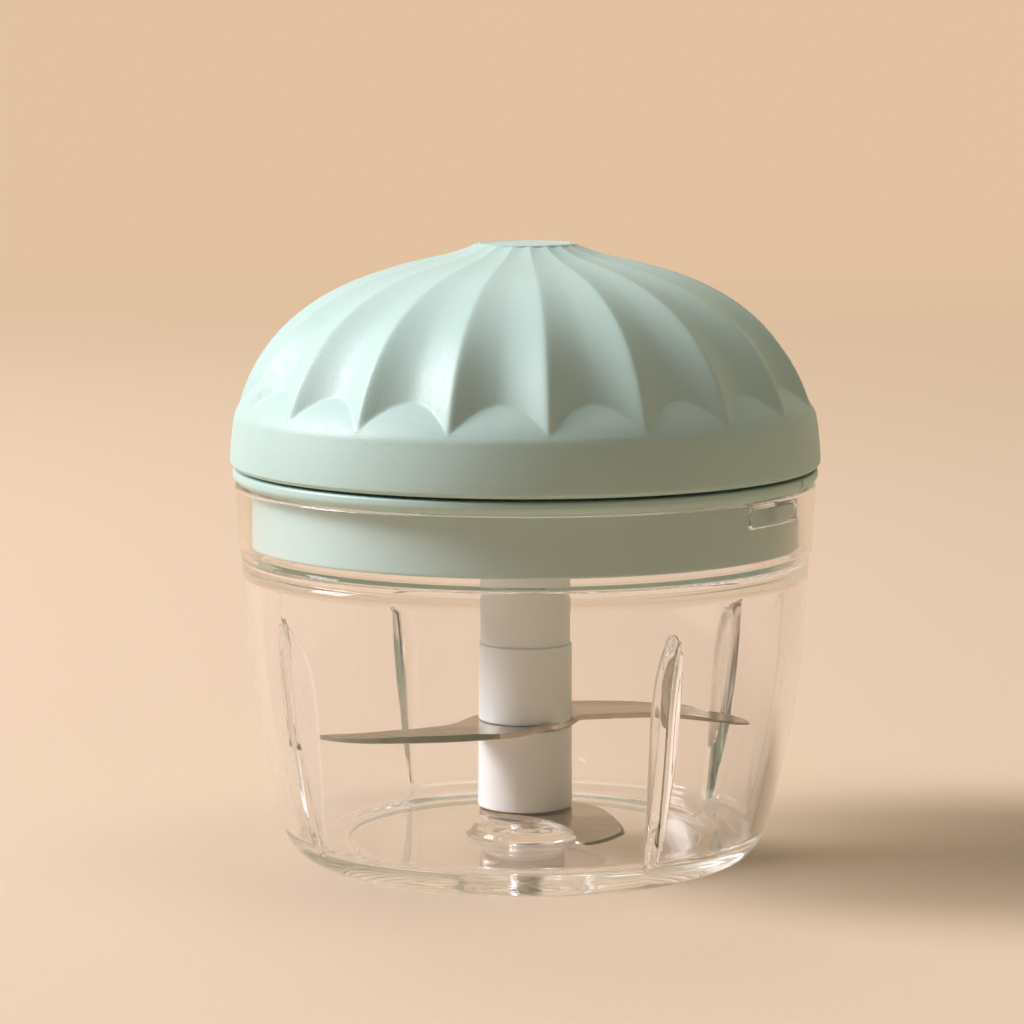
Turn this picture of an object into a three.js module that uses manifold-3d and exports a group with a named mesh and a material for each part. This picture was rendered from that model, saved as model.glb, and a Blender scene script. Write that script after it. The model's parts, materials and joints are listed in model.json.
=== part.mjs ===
// Hand-twisted food masher. A clear bowl holds a rotor with two steel blades, and the fluted dome
// of the lid turns the rotor through a small planetary gear. Millimetres, +Z up, origin at the
// middle of the foot, front towards -Y. A piece's place round the axis is an angle in degrees from
// the front, positive to the right.

import * as THREE from 'three';
import { mergeVertices } from 'three/addons/utils/BufferGeometryUtils.js';
import Module from 'manifold-3d';

const wasm = await Module();
wasm.setup();

// Gaps between pieces, and how far a cutting body runs past what it cuts
const seat_gap = 0.3;
const overrun = 3;

// Sides of round pieces
const large_sides = 32;
const band_sides = 40;
const small_sides = 16;
const screw_sides = 10;
const curve_steps = 6;
const corner_steps = 3;

// Bowl wall, from the foot up to the rim. The radii are stepped inwards from the rim
const rim_radius = 47.3;
const rim_rise = 11.6;
const rim_round = 0.5;
const band_taper = 0.5;
const band_rise = 1.2;
const ledge_height = 50;
const ledge_step = 0.5;
const ledge_width = 1.4;
const wall_thickness = 2.6;
const wall_draft = 6.14;
const wall_foot_height = 6.1;
const wall_foot_slope_share = 0.243;
const wall_top_slope_share = 0.059;
const wall_bow_share = 0.5;
const foot_inset = 7.36;
const foot_width = 3.2;
const foot_recess = 0.9;

// Bowl floor and the boss that holds the rotor's pin
const floor_height = 3.46;
const floor_inset = 3.4;
const floor_step_height = 0.75;
const floor_step_run = 1.7;
const boss_radius = 9;
const boss_height = 1.75;
const boss_neck_width = 2.5;
const boss_neck_height = 0.6;
const pin_radius = 2;
const pin_seat_height = 2.2;
const pin_length = 22;
const pin_tip = 0.6;

// Four ribs inside the bowl, each standing in from the wall
const rib_angles = [31, 121, 211, 301];
const rib_width = 2.6;
const rib_drop = 8.2;
const rib_ramp = 10.8;
const rib_shoulder_depth = 7.4;
const rib_foot_depth = 3.86;

// Bayonet lugs on the lid and their tracks in the bowl's rim
const lug_angles = [62, 242];
const lug_turn_angle = 9;
const lug_span_angle = 7.6;
const lug_play_angle = 0.7;
const lug_reach = 1.5;
const lug_height = 2.5;
const track_bridge = 0.8;

// Rotor, stacked on the core from the bottom up
const bush_wall = 0.9;
const core_wall = 1.5;
const core_flange_width = 1.6;
const core_flange_height = 0.6;
const core_tenon_height = 4.8;
const hub_radius = 7.66;
const hub_foot_flare = 0.09;
const hub_lower_height = 13;
const hub_round = 0.35;
const collar_height = 17.7;
const collar_step = 0.3;
const collar_gap = 0.6;
const socket_depth = 9;
const blade_thickness = 0.9;
const blade_gap = 1.05;
const blade_bend_angle = 7;
const hook_bend_angle = 8;
const hook_reach = 23;

// Lid: flange, skirt, deck and gasket
const flange_overhang = 0.3;
const flange_height = 2.1;
const flange_taper = 0.8;
const flange_round = 0.45;
const skirt_gap = 0.8;
const skirt_lift = 1.9;
const skirt_wall = 2.2;
const deck_thickness = 2;
const guide_gap = 0.5;
const guide_wall = 1.6;
const guide_height = 2.4;
const seal_height = 0.9;
const seal_wall = 0.8;
const seal_inset = 1.4;
const tube_wall = 2.2;
const tube_depth = 6.5;
const notch_angle = 67;
const notch_width = 0.6;

// Planetary gear: the dome's ring drives three planets, and they drive the sun
const module_length = 1;
const pressure_angle = 20;
const sun_teeth = 12;
const planet_teeth = 18;
const ring_teeth = sun_teeth + 2 * planet_teeth;
const planet_count = 3;
const gear_width = 6;
const tooth_gap = 0.28;
const addendum_share = 0.9;
const dedendum_share = 1.25;
const planet_pin_radius = 2;
const planet_pin_seat = 0.8;
const planet_boss_wall = 1.1;
const cover_thickness = 1.8;
const cover_rise = 0.5;
const cover_edge = 0.8;
const post_angle = 60;
const post_offset = 1.6;
const post_radius = 3;
const mast_radius = 4.2;
const ring_rim = 3.2;
const web_thickness = 2;
const web_gap = 3.8;
const web_edge = 3.9;
const ring_boss_offset = 4.15;
const ring_boss_radius = 3;
const ring_boss_angles = [45, 135, 225, 315];

// Drive shaft and its bearing
const journal_radius = 3.2;
const journal_end = 0.9;
const hex_radius = 3.5;
const hex_gap = 0.15;
const sun_hex_radius = 2.8;
const bearing_wall = 1.6;
const bearing_flange_width = 1.4;
const bearing_flange_height = 0.8;
const clip_width = 1.5;
const clip_height = 0.8;

// Dome: a plain band, and a fluted body that stands in from it
const dome_overhang = 0.4;
const dome_gap = 0.5;
const dome_height = 35.7;
const dome_wall = 2.4;
const dome_inset = 0.35;
const dome_band_wall = 2.6;
const dome_band_height = 8.6;
const dome_band_taper = 0.8;
const dome_band_round = 0.8;
const shoulder_height = 7;
const shoulder_run = 8.3;
const shoulder_bulge = 2.2;
const flute_count = 19;
const flute_angle = 4.3;
const flute_steps = 4;
const flute_depth_share = 0.07;
const disc_height = 0.6;
const neck_radius = 13.1;
const neck_drop = 1.8;
const neck_foot_share = 0.6;
const crown_run = 5;
const crown_slope_share = 0.288;
const side_bow = 21.55;
const side_slope_share = 0.238;
const dome_bush_wall = 1.2;
const dome_bush_length = 8;
const dome_tube_wall = 2.2;
const dome_tube_lip = 0.6;

// Cap over the screw that holds the dome on the mast
const cap_radius = 7.4;
const cap_rim = 0.4;
const cap_thickness = 1.1;
const cap_proud = 0.1;
const cap_plug_depth = 0.9;
const cap_plug_gap = 0.5;
const cap_head_gap = 1;
const washer_radius = 4.6;
const washer_thickness = 0.8;
const washer_gap = 0.8;

// Screws
const screw_radius = 1.4;
const screw_length = 8;
const mast_screw_length = 12;
const screw_head_radius = 2.7;
const screw_crown_radius = 1.7;
const screw_head_height = 1.9;
const screw_drive_radius = 1.2;
const screw_drive_depth = 1;

// Radii of the bowl, the lid and the dome
const band_foot_radius = rim_radius - band_taper;
const wall_top_radius = band_foot_radius - ledge_step;
const wall_foot_radius = wall_top_radius - wall_draft;
const foot_radius = wall_foot_radius - foot_inset;
const floor_radius = foot_radius - floor_inset;
const bore_radius = wall_top_radius - wall_thickness + ledge_width;
const skirt_radius = bore_radius - skirt_gap;
const flange_radius = rim_radius + flange_overhang;
const seal_radius = rim_radius - seal_inset;
const dome_radius = flange_radius + dome_overhang;
const dome_band_top_radius = dome_radius - dome_band_taper;
const dome_foot_radius = dome_band_top_radius - dome_inset;
const disc_radius = cap_radius + seat_gap + cap_rim;
const guide_radius = dome_radius - dome_band_wall - guide_gap;
const rib_foot_radius = wall_foot_radius - rib_foot_depth;
const rib_shoulder_radius = wall_top_radius - rib_shoulder_depth;

// Radii of the rotor, the shaft and the gears
const pin_bore_radius = pin_radius + seat_gap;
const boss_neck_radius = pin_bore_radius + boss_neck_width;
const bush_radius = pin_bore_radius + bush_wall;
const core_bore_radius = bush_radius + seat_gap;
const core_radius = core_bore_radius + core_wall;
const hub_bore_radius = core_radius + seat_gap;
const collar_radius = hub_radius - collar_step;
const bearing_bore = journal_radius + seat_gap;
const bearing_radius = bearing_bore + bearing_wall;
const tube_bore = bearing_radius + seat_gap;
const planet_bore_radius = planet_pin_radius + seat_gap;
const carrier_radius = module_length * (sun_teeth + planet_teeth) / 2;
const post_circle = carrier_radius + post_offset;
const cover_radius = post_circle + post_radius + cover_edge;
const ring_root_radius = module_length * (ring_teeth / 2 + dedendum_share);
const ring_radius = ring_root_radius + ring_rim;
const ring_boss_circle = ring_radius + ring_boss_offset;
const web_inner_radius = cover_radius + web_gap;
const web_radius = ring_boss_circle + web_edge;
const screw_hole_radius = screw_radius + seat_gap;
const mast_bore_radius = mast_radius + seat_gap;
const dome_bush_radius = mast_bore_radius + dome_bush_wall;
const dome_tube_bore = dome_bush_radius + seat_gap;
const dome_tube_radius = dome_tube_bore + dome_tube_wall;
const screw_recess_radius = washer_radius + washer_gap;
const cap_plug_radius = screw_recess_radius - cap_plug_gap;

// Heights of the bowl and the lid
const rim_height = ledge_height + rim_rise;
const rib_top_height = ledge_height - rib_drop;
const rib_shoulder_height = rib_top_height - rib_ramp;
const skirt_bottom = ledge_height + skirt_lift;
const flange_bottom = rim_height + seat_gap;
const flange_top = flange_bottom + flange_height;
const deck_bottom = flange_top - deck_thickness;
const track_roof = rim_height - track_bridge;
const lug_top = track_roof - seat_gap;
const lug_bottom = lug_top - lug_height;

// Heights of the shaft, from its tube down to the hexagon in the rotor's socket
const tube_bottom = deck_bottom - tube_depth;
const clip_top = tube_bottom - seat_gap;
const clip_bottom = clip_top - clip_height;
const journal_bottom = clip_bottom - journal_end;
const collar_top = journal_bottom - collar_gap;
const socket_bottom = collar_top - socket_depth;
const hex_bottom = socket_bottom + collar_gap;

// Heights of the rotor
const boss_top = floor_height + boss_height;
const neck_top = boss_top + boss_neck_height;
const pin_bottom = pin_seat_height + seat_gap;
const pin_top = pin_bottom + pin_length;
const bush_top = pin_top + seat_gap + bush_wall;
const core_bottom = neck_top + seat_gap;
const core_flange_top = core_bottom + core_flange_height;
const collar_bottom = collar_top - collar_height;
const core_top = collar_bottom + core_tenon_height;
const hook_bottom = core_flange_top + seat_gap;
const hub_lower_bottom = hook_bottom + blade_thickness + seat_gap;
const hub_lower_top = hub_lower_bottom + hub_lower_height;
const blade_bottom = hub_lower_top + seat_gap;
const hub_upper_bottom = blade_bottom + blade_thickness + seat_gap;
const hub_upper_top = collar_bottom - seat_gap;

// Heights of the gears and the dome
const bearing_flange_top = flange_top + seat_gap + bearing_flange_height;
const gear_bottom = bearing_flange_top + seat_gap;
const gear_top = gear_bottom + gear_width;
const cover_bottom = gear_top + cover_rise;
const cover_top = cover_bottom + cover_thickness;
const dome_bottom = flange_top + dome_gap;
const dome_top = dome_bottom + dome_height;
const crease_height = dome_bottom + dome_band_height;
const cap_seat = dome_top + cap_proud - cap_thickness;
const cap_plug_bottom = cap_seat - cap_plug_depth;
const mast_screw_seat = cap_plug_bottom - cap_head_gap - screw_head_height;
const washer_bottom = mast_screw_seat - seat_gap - washer_thickness;
const recess_floor = washer_bottom - seat_gap;
const dome_ceiling = recess_floor - dome_wall;
const mast_top = dome_ceiling - 2 * seat_gap;
const dome_bush_top = mast_top - seat_gap;
const dome_bush_bottom = dome_bush_top - dome_bush_length;
const dome_tube_bottom = dome_bush_bottom - dome_tube_lip;

// Colours and finishes
const paint = (color, roughness, metalness = 0) => (
  new THREE.MeshStandardMaterial({ color, roughness, metalness })
);
const mint = paint(0xb9d2c4, 0.55);
const clear = new THREE.MeshStandardMaterial({
  color: 0xe9edee, roughness: 0.06, transparent: true, opacity: 0.35,
});
const white = paint(0xf0eeea, 0.4);
const steel = paint(0xb9bcbe, 0.2, 1);
const acetal = paint(0xdcdcd6, 0.45);
const brass = paint(0xc4a35a, 0.3, 1);
const silicone = paint(0xb4cdbf, 0.7);

// Angles
const full_turn = 360;
const half_turn = 180;
const quarter_turn = 90;
const half_hexagon_side_angle = 30;
const radians = (angle) => THREE.MathUtils.degToRad(angle);
const heading = (angle) => radians(angle - quarter_turn);

// A closed solid from a geometry
function solid(geometry) {
  const shell = geometry.clone();
  shell.deleteAttribute('normal');
  shell.deleteAttribute('uv');
  const merged = mergeVertices(shell);
  const corners = merged.index.array;
  const kept = [];
  for (let i = 0; i < corners.length; i += 3) {
    const [a, b, c] = corners.slice(i, i + 3);
    if (a !== b && b !== c && c !== a) kept.push(a, b, c);
  }
  return new wasm.Manifold(new wasm.Mesh({
    numProp: 3,
    vertProperties: new Float32Array(merged.attributes.position.array),
    triVerts: new Uint32Array(kept),
  }));
}

// A geometry from a closed solid
function geometry_of(body) {
  const mesh = body.getMesh();
  const geometry = new THREE.BufferGeometry();
  geometry.setAttribute('position', new THREE.BufferAttribute(mesh.vertProperties, 3));
  geometry.setIndex(new THREE.BufferAttribute(mesh.triVerts, 1));
  geometry.computeVertexNormals();
  return geometry;
}

// A piece is a first body with others joined to it, and then others cut from it
function joined(first, ...others) {
  return others.reduce((whole, other) => whole.add(other), first);
}

function cut(first, ...others) {
  return others.reduce((whole, other) => whole.subtract(other), first);
}

// Shapes that repeat. Outlines are [radius, height] pairs
function turned(outline, sides = large_sides) {
  const points = outline.map(([radius, height]) => new THREE.Vector2(radius, height));
  return solid(new THREE.LatheGeometry(points, sides).rotateX(Math.PI / 2));
}

function ring(inner, outer, bottom, top, sides = small_sides) {
  return turned([[inner, bottom], [outer, bottom], [outer, top], [inner, top], [inner, bottom]], sides);
}

function rod(radius, bottom, top, sides = small_sides) {
  return turned([[0, bottom], [radius, bottom], [radius, top], [0, top]], sides);
}

function raised(shape, bottom, top, steps = corner_steps) {
  const settings = { depth: top - bottom, bevelEnabled: false, curveSegments: steps };
  return solid(new THREE.ExtrudeGeometry(shape, settings).translate(0, 0, bottom));
}

function hexagon(radius, bottom, top) {
  return rod(radius, bottom, top, 6);
}

function sector(inner, outer, from, to, bottom, top) {
  const shape = new THREE.Shape();
  shape.absarc(0, 0, outer, heading(from), heading(to), false);
  shape.absarc(0, 0, inner, heading(to), heading(from), true);
  return raised(shape, bottom, top);
}

function moved(body, radius, angle) {
  const turn = heading(angle);
  return body.translate([radius * Math.cos(turn), radius * Math.sin(turn), 0]);
}

// Bowl

// Outer face of the bowl's wall, moved inwards by an inset, from the foot corner up to the ledge
function wall_curve(inset) {
  const bow = (ledge_height - wall_foot_height) * wall_bow_share;
  const low = new THREE.Vector2(wall_foot_radius - inset, wall_foot_height);
  const high = new THREE.Vector2(wall_top_radius - inset, ledge_height);
  return new THREE.CubicBezierCurve(
    low,
    new THREE.Vector2(low.x + bow * wall_foot_slope_share, low.y + bow),
    new THREE.Vector2(high.x - bow * wall_top_slope_share, high.y - bow),
    high,
  );
}

function pairs(curve, steps) {
  return curve.getPoints(steps).map((point) => [point.x, point.y]);
}

// The rounded corner between the foot and the wall, outside
function foot_corner() {
  const slope_start = wall_foot_radius - wall_foot_height * wall_foot_slope_share;
  return new THREE.QuadraticBezierCurve(
    new THREE.Vector2(foot_radius, 0),
    new THREE.Vector2(slope_start, 0),
    new THREE.Vector2(wall_foot_radius, wall_foot_height),
  );
}

// The rounded corner between the floor and the wall, inside
function floor_corner() {
  const wall_foot = wall_foot_radius - wall_thickness;
  const step_top = floor_height + floor_step_height;
  return new THREE.QuadraticBezierCurve(
    new THREE.Vector2(wall_foot, wall_foot_height),
    new THREE.Vector2(wall_foot, step_top),
    new THREE.Vector2(floor_radius + floor_step_run, step_top),
  );
}

function bowl_shell() {
  return turned([
    [0, foot_recess],
    [foot_radius - foot_width, foot_recess],
    [foot_radius - foot_width, 0],
    ...pairs(foot_corner(), corner_steps).slice(0, -1),
    ...pairs(wall_curve(0), curve_steps),
    [band_foot_radius, ledge_height + band_rise],
    [rim_radius, rim_height - rim_round],
    [rim_radius - rim_round, rim_height],
    [bore_radius, rim_height],
    [bore_radius, ledge_height],
    ...pairs(wall_curve(wall_thickness), curve_steps).reverse().slice(0, -1),
    ...pairs(floor_corner(), corner_steps),
    [floor_radius, floor_height],
    [boss_radius, floor_height],
    [boss_radius, boss_top],
    [boss_neck_radius, boss_top],
    [boss_neck_radius, neck_top],
    [pin_bore_radius, neck_top],
    [pin_bore_radius, pin_seat_height],
    [0, pin_seat_height],
  ]);
}

// A rib stands on the floor against the wall, and its inner edge ramps out to the wall at the top
function bowl_rib(angle) {
  const buried = pairs(wall_curve(wall_thickness / 2), curve_steps * 2)
    .filter(([, height]) => height < rib_top_height);
  const [top_radius] = buried[buried.length - 1];
  const shape = new THREE.Shape([
    [rib_foot_radius, floor_height],
    [wall_foot_radius - wall_thickness, floor_height],
    ...buried,
    [top_radius, rib_top_height],
    [top_radius - wall_thickness, rib_top_height],
    [rib_shoulder_radius, rib_shoulder_height],
  ].map(([radius, height]) => new THREE.Vector2(radius, height)));
  const plate = raised(shape, -rib_width / 2, rib_width / 2);
  return plate.rotate([quarter_turn, 0, 0]).rotate([0, 0, angle - quarter_turn]);
}

// A track is open at the rim over its entry, and runs under a bridge to its locked end
function lug_track(angle) {
  const entry_from = angle - lug_span_angle / 2 - lug_play_angle;
  const entry_to = angle + lug_span_angle / 2 + lug_play_angle;
  const depth = skirt_radius + lug_reach + seat_gap;
  const floor = lug_bottom - seat_gap;
  return joined(
    sector(skirt_radius, depth, entry_from, entry_to, floor, rim_height + overrun),
    sector(skirt_radius, depth, entry_from - lug_turn_angle, entry_to, floor, track_roof),
  );
}

function bowl() {
  const body = joined(bowl_shell(), ...rib_angles.map(bowl_rib));
  return cut(body, ...lug_angles.map(lug_track));
}

function pivot_pin() {
  return turned([
    [0, pin_bottom], [pin_radius, pin_bottom], [pin_radius, pin_top - pin_tip],
    [pin_radius - pin_tip, pin_top], [0, pin_top],
  ], small_sides);
}

// Rotor

function pivot_bush() {
  return turned([
    [0, pin_top + seat_gap], [pin_bore_radius, pin_top + seat_gap],
    [pin_bore_radius, core_bottom], [bush_radius, core_bottom],
    [bush_radius, bush_top], [0, bush_top],
  ], small_sides);
}

function rotor_core() {
  const flange_end_radius = core_radius + core_flange_width;
  return turned([
    [0, bush_top + seat_gap], [core_bore_radius, bush_top + seat_gap],
    [core_bore_radius, core_bottom], [flange_end_radius, core_bottom],
    [flange_end_radius, core_flange_top], [core_radius, core_flange_top],
    [core_radius, core_top], [0, core_top],
  ], small_sides);
}

// A sleeve of the hub, which may flare a little towards its foot
function hub_sleeve(flare, bottom, top) {
  const foot = hub_radius + flare;
  return turned([
    [hub_bore_radius, bottom], [foot - hub_round, bottom], [foot, bottom + hub_round],
    [hub_radius, top - hub_round], [hub_radius - hub_round, top],
    [hub_bore_radius, top], [hub_bore_radius, bottom],
  ], small_sides);
}

// The collar caps the core and takes the lid's hexagonal shaft in its socket
function hub_collar() {
  const corner_angle = half_hexagon_side_angle - lug_turn_angle / 2;
  const socket_radius = (hex_radius * Math.cos(radians(corner_angle)) + hex_gap)
    / Math.cos(radians(half_hexagon_side_angle));
  const body = turned([
    [0, collar_bottom], [collar_radius - hub_round, collar_bottom],
    [collar_radius, collar_bottom + hub_round], [collar_radius, collar_top - hub_round],
    [collar_radius - hub_round, collar_top], [0, collar_top],
  ], small_sides);
  return cut(
    body,
    rod(hub_bore_radius, collar_bottom - overrun, core_top + seat_gap),
    hexagon(socket_radius, socket_bottom, collar_top + overrun),
  );
}

// Plan of the long blade, as shares of its reach: the left arm sweeps forward to its tip
const blade_plan_shares = [
  [0.99, -0.13], [0.945, 0.01], [0.83, 0.15], [0.78, 0.225], [0.69, 0.28], [0.56, 0.28],
  [0.215, 0.285], [-0.05, 0.235], [-0.215, 0.08], [-0.32, -0.13], [-0.43, -0.215],
  [-0.56, -0.25], [-0.71, -0.275], [-0.9, -0.28], [-0.84, -0.345], [-0.7, -0.385],
  [-0.57, -0.388], [-0.43, -0.38], [-0.29, -0.362], [-0.11, -0.32], [0.02, -0.27],
  [0.12, -0.2], [0.2, -0.05], [0.34, -0.005], [0.56, 0.03], [0.7, -0.005], [0.84, -0.085],
  [0.92, -0.14],
];

// Plan of the short blade, as shares of its reach: a hook that curls forward and down
const hook_plan_shares = [
  [0.43, -0.94], [0.55, -0.86], [0.67, -0.7], [0.69, -0.62], [0.67, -0.43], [0.6, -0.2],
  [0.48, 0.02], [0.3, 0.2], [0, 0.31], [-0.25, 0.22], [-0.32, 0], [-0.3, -0.16],
  [-0.08, -0.31], [0.09, -0.4], [0.24, -0.55], [0.32, -0.68], [0.35, -0.8], [0.34, -0.89],
];

// Reach of the long blade, which turns just inside the ribs
function blade_reach() {
  const rise_share = (blade_bottom - floor_height) / (rib_shoulder_height - floor_height);
  return rib_foot_radius + (rib_shoulder_radius - rib_foot_radius) * rise_share - blade_gap;
}

// A flat plate cut to a plan, whose edges bend away from the level of the hub
function bent_plate(shares, reach, bottom, bend, rises) {
  const shape = new THREE.Shape(shares.map(([x, y]) => new THREE.Vector2(x * reach, y * reach)));
  const plate = cut(
    raised(shape, bottom, bottom + blade_thickness),
    rod(hub_bore_radius, bottom - overrun, bottom + blade_thickness + overrun),
  );
  const slope = Math.tan(radians(bend));
  return plate.refineToLength(reach / curve_steps).warp((point) => {
    const front = Math.max(0, -point[1] - hub_radius);
    const back = Math.max(0, point[1] - hub_radius);
    point[2] += slope * (rises * back - front);
  });
}

// Lid

function flange_curve() {
  const middle = flange_bottom + flange_height / 2;
  return [
    [flange_radius - flange_taper, flange_bottom],
    [flange_radius - flange_round / 2, middle - flange_round],
    [flange_radius, middle],
    [flange_radius, flange_top - flange_round],
    [flange_radius - flange_round, flange_top],
  ];
}

function lid_shell() {
  const skirt_inner = skirt_radius - skirt_wall;
  const guide_top = flange_top + guide_height;
  const groove_top = flange_bottom + seal_height + seat_gap;
  const groove_inner = seal_radius - seal_wall - seat_gap;
  return turned([
    [tube_bore, tube_bottom],
    [tube_bore + tube_wall, tube_bottom],
    [tube_bore + tube_wall, deck_bottom],
    [skirt_inner, deck_bottom],
    [skirt_inner, skirt_bottom],
    [skirt_radius, skirt_bottom],
    [skirt_radius, flange_bottom],
    [groove_inner, flange_bottom],
    [groove_inner, groove_top],
    [seal_radius + seat_gap, groove_top],
    [seal_radius + seat_gap, flange_bottom],
    ...flange_curve(),
    [guide_radius, flange_top],
    [guide_radius, guide_top],
    [guide_radius - guide_wall, guide_top],
    [guide_radius - guide_wall, flange_top],
    [tube_bore, flange_top],
    [tube_bore, tube_bottom],
  ]);
}

// The gasket sits in a groove under the flange, over the bowl's rim
function lid_seal() {
  const inner = seal_radius - seal_wall;
  return ring(inner, seal_radius, flange_bottom, flange_bottom + seal_height, large_sides);
}

function lid_lug(angle) {
  const from = angle - lug_span_angle / 2;
  return sector(skirt_radius - skirt_wall / 2, skirt_radius + lug_reach,
    from, from + lug_span_angle, lug_bottom, lug_top);
}

function planet_angles() {
  return Array.from({ length: planet_count }, (_, i) => (i * full_turn) / planet_count);
}

function post_angles() {
  return planet_angles().map((angle) => angle + post_angle);
}

// The same body at each of several angles on a circle
function around(angles, circle, body) {
  return angles.map((angle) => moved(body, circle, angle));
}

function lid_base() {
  const deck_middle = deck_bottom + deck_thickness / 2;
  const post_top = cover_bottom - seat_gap;
  const boss = rod(planet_bore_radius + planet_boss_wall, deck_middle, gear_bottom - seat_gap);
  const post = rod(post_radius, deck_middle, post_top);
  const pin_hole = rod(planet_bore_radius, deck_bottom + planet_pin_seat, flange_top + overrun);
  const hole_bottom = cover_top - screw_length - seat_gap;
  const screw_hole = rod(screw_hole_radius, hole_bottom, post_top + overrun, screw_sides);
  const half_notch = notch_width / flange_radius * THREE.MathUtils.RAD2DEG / 2;
  const notch = sector(flange_radius - notch_width, flange_radius + overrun,
    notch_angle - half_notch, notch_angle + half_notch,
    flange_bottom - overrun, flange_top + overrun);
  const body = joined(
    lid_shell(),
    ...around(planet_angles(), carrier_radius, boss),
    ...around(post_angles(), post_circle, post),
    ...lug_angles.map(lid_lug),
  );
  return cut(
    body,
    ...around(planet_angles(), carrier_radius, pin_hole),
    ...around(post_angles(), post_circle, screw_hole),
    notch,
  );
}

// Fixed plate over the planets, with the mast that the dome turns on
function gear_cover() {
  const plate = turned([
    [0, cover_bottom], [cover_radius, cover_bottom], [cover_radius, cover_top],
    [mast_radius, cover_top], [mast_radius, mast_top], [0, mast_top],
  ]);
  const pin_hole = rod(planet_bore_radius, cover_bottom - overrun, cover_top + overrun);
  const low = cover_bottom - overrun;
  const screw_hole = rod(screw_hole_radius, low, cover_top + overrun, screw_sides);
  const mast_hole_bottom = mast_screw_seat - mast_screw_length - seat_gap;
  return cut(
    plate,
    ...around(planet_angles(), carrier_radius, pin_hole),
    ...around(post_angles(), post_circle, screw_hole),
    rod(screw_hole_radius, mast_hole_bottom, mast_top + overrun, screw_sides),
  );
}

function planet_pin() {
  return rod(planet_pin_radius, deck_bottom + planet_pin_seat + seat_gap, cover_top);
}

// A screw standing on its head's underside, shank downwards
function screw(length) {
  const body = turned([
    [0, -length], [screw_radius, -length], [screw_radius, 0], [screw_head_radius, 0],
    [screw_head_radius, screw_head_height / 2],
    [screw_crown_radius, screw_head_height], [0, screw_head_height],
  ], screw_sides);
  const drive_bottom = screw_head_height - screw_drive_depth;
  return cut(body, hexagon(screw_drive_radius, drive_bottom, screw_head_height + overrun));
}

// Gears

// Half the angle of a tooth at a radius, for a tooth of the given thickness on the pitch circle
function half_tooth(radius, teeth, thickness) {
  const pitch = module_length * teeth / 2;
  const base = pitch * Math.cos(radians(pressure_angle));
  const involute = (angle) => Math.tan(angle) - angle;
  const slope = Math.acos(Math.min(1, base / Math.max(radius, base)));
  return thickness / pitch / 2 + involute(radians(pressure_angle)) - involute(slope);
}

function toothed(teeth, root, tip, thickness, first_tooth) {
  const points = [];
  for (let i = 0; i < teeth; i += 1) {
    const centre = radians(first_tooth) + i * 2 * Math.PI / teeth;
    for (const [radius, side] of [[root, -1], [tip, -1], [tip, 1], [root, 1]]) {
      const angle = centre + side * half_tooth(radius, teeth, thickness);
      points.push(new THREE.Vector2(radius * Math.cos(angle), radius * Math.sin(angle)));
    }
  }
  return points;
}

function outer_gear(teeth, first_tooth) {
  const pitch = module_length * teeth / 2;
  const thickness = module_length * Math.PI / 2 - tooth_gap;
  return raised(new THREE.Shape(toothed(
    teeth,
    pitch - module_length * dedendum_share,
    pitch + module_length * addendum_share,
    thickness,
    first_tooth,
  )), gear_bottom, gear_top);
}

// Turned so that a tooth gap faces the sun and the ring
function planet_gear() {
  const half_pitch = half_turn / planet_teeth;
  return cut(
    outer_gear(planet_teeth, half_pitch - quarter_turn),
    rod(planet_bore_radius, gear_bottom - overrun, gear_top + overrun),
  );
}

function sun_gear() {
  return cut(
    outer_gear(sun_teeth, -quarter_turn),
    hexagon(sun_hex_radius + seat_gap, gear_bottom - overrun, gear_top + overrun),
  );
}

// Toothed rim with a web above it, screwed up into the dome
function ring_gear() {
  const tip = module_length * (ring_teeth / 2 - addendum_share);
  const shape = new THREE.Shape().absarc(0, 0, ring_radius, 0, 2 * Math.PI, false);
  const gap = module_length * Math.PI / 2 + tooth_gap;
  const half_pitch = half_turn / ring_teeth;
  const first_gap = half_pitch - quarter_turn;
  shape.holes.push(new THREE.Path(toothed(ring_teeth, tip, ring_root_radius, gap, first_gap)));
  const teeth = raised(shape, gear_bottom, gear_top, large_sides / 4);
  const web = ring(web_inner_radius, web_radius, gear_top, gear_top + web_thickness, large_sides);
  const high = gear_top + web_thickness + overrun;
  const hole = rod(screw_hole_radius, gear_top - overrun, high, screw_sides);
  return cut(joined(teeth, web), ...around(ring_boss_angles, ring_boss_circle, hole));
}

// Shaft: a hexagon for the rotor's socket, a round journal and a hexagon for the sun gear. The lower
// hexagon is turned by half of the bayonet's turn, so that it fits the socket at both ends of it
function drive_shaft() {
  return joined(
    hexagon(hex_radius, hex_bottom, journal_bottom).rotate([0, 0, lug_turn_angle / 2]),
    rod(journal_radius, journal_bottom, gear_bottom - seat_gap),
    hexagon(sun_hex_radius, gear_bottom - seat_gap, gear_top),
  );
}

function shaft_bearing() {
  const low = flange_top + seat_gap;
  const wide = bearing_radius + bearing_flange_width;
  return turned([
    [bearing_bore, tube_bottom], [bearing_radius, tube_bottom], [bearing_radius, low],
    [wide, low], [wide, bearing_flange_top],
    [bearing_bore, bearing_flange_top], [bearing_bore, tube_bottom],
  ], small_sides);
}

function shaft_clip() {
  return ring(bearing_bore, bearing_bore + clip_width, clip_bottom, clip_top);
}

// Dome

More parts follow.
